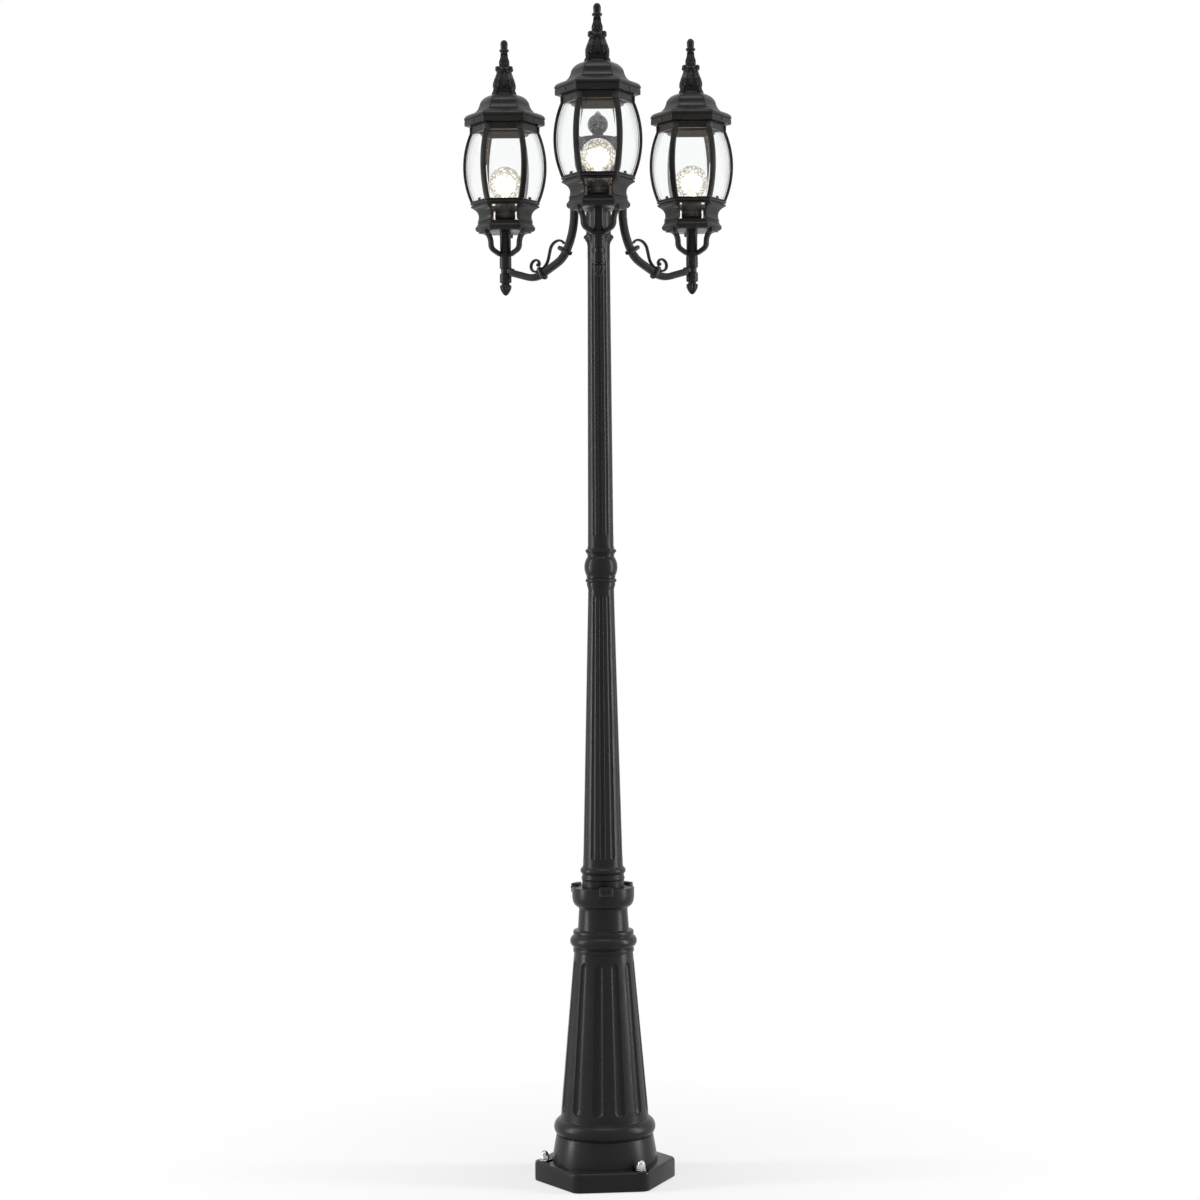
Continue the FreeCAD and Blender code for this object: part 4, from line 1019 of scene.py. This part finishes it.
def bulb_outline(wall):
    """Outline of the bulb, a wall's thickness inside its face."""
    centre, radius = BULB_TOP - BULB_RADIUS, BULB_RADIUS - wall
    rim = HOLDER_TOP + 1.0
    neck = [(12.8 - wall, CAP_TOP + wall * 0.5), (12.9 - wall, rim)]
    start = math.radians(BALL_START)
    ball_foot = (radius * math.cos(start), centre + radius * math.sin(start))
    neck += arc((12.9 - wall, rim), (18.0 - wall, rim + 10.0), ball_foot, 6)
    return neck[:-1] + bead(centre, 0, radius, BALL_START, POLE, 26)


def bulb_glass():
    """Thin clear envelope, as two skins."""
    outer, inner = bulb_outline(0.0), bulb_outline(0.9)
    return lathe(outer + inner[::-1], 56, loop=True)


def bulb_glow():
    """Bright inner body of the lit bulb, on its stalk."""
    centre = BULB_TOP - 37.0
    outline = above(CAP_TOP + 2.0, (0.01, 0), (5.2, 0), (4.6, 4)) + [(8.0, centre - 18.4)]
    return lathe(outline + bead(centre, 0, 20.5, -64, POLE, 22), 48)


# ---- dressing the frame
def lantern_place(angle):
    return spin(angle) @ shift(0, -REACH, 0)


def dress_post():
    piece("base", base_casting(), BLACK, POST_BODY, ["base_casting"], place=spin(BASE_TURN))
    screws = Form()
    for angle in LUG_ANGLES:
        for side in (-5.5, 5.5):
            screws.add(socket_head(3.0, 3.0), spin(BASE_TURN + angle) @ shift(65.0, side, 579.0)
                       @ Matrix.Rotation(QUARTER, 4, "Y"))
    piece("lug_screws", screws, BLACK, POST_BODY, ["collar_screws"])
    piece("ground_washers", at_bolts(washer(), FOOT_HEIGHT), STEEL, POST_BODY,
          ["anchor_washers"])
    piece("ground_nuts", at_bolts(acorn_nut(), FOOT_HEIGHT + WASHER), STEEL, POST_BODY,
          ["anchor_nuts"])
    piece("lower_post", pole_lower(), BLACK, POST_BODY, ["pole_lower"])
    piece("upper_post", pole_upper(), BLACK, POST_BODY, ["pole_upper"])
    piece("hub_can", hub(), BLACK, POST_BODY, ["hub"])
    piece("top_knob", hub_knob(), KNOB, POST_BODY, ["hub_knob"])


def dress_side(side, angle):
    """Pieces of the arm and the lantern on one side."""
    arm_at, lantern_at = spin(angle + FRONT), lantern_place(angle)
    same_way = lantern_at @ spin(-angle)  # galleries and spires all face the same way
    roof_body, bulb_body = f"{side}_roof_cap", f"{side}_bulb"

    def dress(node, form, material=BLACK, body=POST_BODY, place=lantern_at,
              bevel=0.0, name=None):
        made = piece(f"{side}_{name or node}_fine", form, material, body, [f"{side}_{node}"],
                     place, bevel)
        if material in (PANE, BULB):
            made.visible_shadow = False

    dress("arm", arm(), place=arm_at)
    dress("scroll", scroll(), place=arm_at)
    dress("arm_clips", arm_clips(), place=arm_at)
    dress("drop_finial", drop_finial())
    dress("upper_sleeve", upper_sleeve())
    dress("stem", stem())
    dress("gallery", gallery(), place=same_way, bevel=0.5)
    dress("cage", cage())
    dress("glass_panes", glass_panes(), PANE, name="panes")
    dress("lamp_holder", lamp_holder(), PLASTIC, name="holder")
    dress("roof", roof(), body=roof_body)
    dress("spire", spire(), body=roof_body, place=same_way)
    heads = Form()
    for k in LEG_FLATS:
        heads.add(pan_head(3.5, 2.0), outward(flat_angle(k), 82.8 * FLAT, BRIM_FOOT + 6.4))
    dress("roof_screws", heads, body=roof_body)
    dress("bulb_base", bulb_base(), CAP, bulb_body, name="bulb_cap")
    dress("bulb_glass", bulb_glass(), BULB, bulb_body, name="bulb")
    glow = piece(f"{side}_bulb_glow", bulb_glow(), GLOW, bulb_body, (), lantern_at)
    glow.visible_shadow = False


dress_post()
for side, angle in THIRDS.items():
    dress_side(side, angle)


# ---- stage
AMBIENT = 0.18
FLOOR_LEVEL, FLOOR_HALF, FLOOR_FRONT, FLOOR_BACK = -0.0006, 14.0, -3, 60  # metres
WHITE_NEAR, WHITE_FROM, WHITE_TO = 0.62, 0.2, 1.0  # least share of white, and its radii in m
BULB_LIGHT_WATTS, BULB_LIGHT_COLOUR = 0.45, (1.0, 0.58, 0.28)
SIDE_WATTS, TOP_WATTS = 125.0, 50.0


def white_where_seen(tree):
    """1 for the rays of the camera, of mirrors and of clear glass, and 0 for all others."""
    rays = tree.nodes.new("ShaderNodeLightPath").outputs
    other = combined(tree, "MAXIMUM", rays["Is Glossy Ray"], rays["Is Transmission Ray"])
    return combined(tree, "MAXIMUM", rays["Is Camera Ray"], other)


def make_world():
    """White where it is seen, and dim as a light."""
    world = bpy.data.worlds.new("studio")
    bpy.context.scene.world = world
    world.use_nodes = True
    tree = world.node_tree
    background = tree.nodes["Background"]
    settle(background, Color=(1.0, 1.0, 1.0, 1.0))
    strength = ramp(tree, white_where_seen(tree), AMBIENT, 1.0, 0.0, 1.0)
    tree.links.new(strength, background.inputs["Strength"])


def make_floor():
    """Pale floor that keeps the post's shadow near it, and is plain white farther out."""
    mesh = bpy.data.meshes.new("floor")
    corners = ((-1, FLOOR_FRONT), (1, FLOOR_FRONT), (1, FLOOR_BACK), (-1, FLOOR_BACK))
    mesh.from_pydata([(FLOOR_HALF * side, y, FLOOR_LEVEL) for side, y in corners], [],
                     [(0, 1, 2, 3)])
    floor = linked("floor", mesh)
    material, tree, shader = new_material("floor")
    settle(shader, Base_Color=(0.86, 0.86, 0.86, 1.0), Roughness=0.9, Specular_IOR_Level=0.1)
    white = tree.nodes.new("ShaderNodeEmission")
    where = tree.nodes.new("ShaderNodeTexCoord")
    length = tree.nodes.new("ShaderNodeVectorMath")
    length.operation = "LENGTH"
    tree.links.new(where.outputs["Object"], length.inputs[0])
    far = ramp(tree, length.outputs["Value"], WHITE_NEAR, 1.0, WHITE_FROM, WHITE_TO)
    seen = combined(tree, "MULTIPLY", far, white_where_seen(tree))
    mix = tree.nodes.new("ShaderNodeMixShader")
    tree.links.new(seen, mix.inputs["Fac"])
    tree.links.new(shader.outputs["BSDF"], mix.inputs[1])
    tree.links.new(white.outputs["Emission"], mix.inputs[2])
    tree.links.new(mix.outputs["Shader"], tree.nodes["Material Output"].inputs["Surface"])
    mesh.materials.append(material)


def softbox(name, place, aim, width, height, power):
    light = bpy.data.lights.new(name, "AREA")
    light.shape = "RECTANGLE"
    light.size, light.size_y = width, height
    light.energy = power
    obj = linked(name, light)
    obj.location = place
    obj.rotation_euler = (Vector(aim) - Vector(place)).to_track_quat("-Z", "Y").to_euler()


def bulb_light(side, place):
    """Warm light of a bulb on what stands round it."""
    light = bpy.data.lights.new(f"{side}_bulb_light", "POINT")
    light.energy = BULB_LIGHT_WATTS
    light.color = BULB_LIGHT_COLOUR
    light.shadow_soft_size = 0.012
    linked(f"{side}_bulb_light", light).location = place


CAMERA_DISTANCE, CAMERA_HEIGHT = 5.0, 1.2214  # metres
FOCAL_PIXELS, IMAGE_PIXELS = 2500.0, 1200.0
HORIZON_ROW, POST_COLUMN = 567.0, 600.9  # pixels of the photograph
CAMERA_ROLL = -0.40  # degrees


def make_camera():
    camera = bpy.data.cameras.new("camera")
    camera.sensor_width = 36.0
    camera.lens = FOCAL_PIXELS / IMAGE_PIXELS * camera.sensor_width
    camera.shift_y = (HORIZON_ROW - IMAGE_PIXELS / 2) / IMAGE_PIXELS
    camera.shift_x = (IMAGE_PIXELS / 2 - POST_COLUMN) / IMAGE_PIXELS
    camera.clip_end = 200.0
    obj = linked("camera", camera)
    obj.location = (0.0, -CAMERA_DISTANCE, CAMERA_HEIGHT)
    level = Matrix.Rotation(math.radians(90), 4, "X")
    roll = Matrix.Rotation(math.radians(CAMERA_ROLL), 4, "Z")
    obj.rotation_euler = (level @ roll).to_euler()
    bpy.context.scene.camera = obj


make_world()
make_floor()
for name, x in (("left", -3.3), ("right", 3.3)):
    softbox(name, (x, -0.35, 1.5), (0, 0, 1.2), 0.42, 3.4, SIDE_WATTS)
softbox("top", (0.0, -0.95, 4.6), (0, 0, 1.6), 2.6, 0.4, TOP_WATTS)
for side, angle in THIRDS.items():
    bulb_light(side, lantern_place(angle) @ Vector((0, 0, BULB_TOP - 36.0)) * MM)
make_camera()
bpy.context.scene.view_settings.view_transform = "Standard"
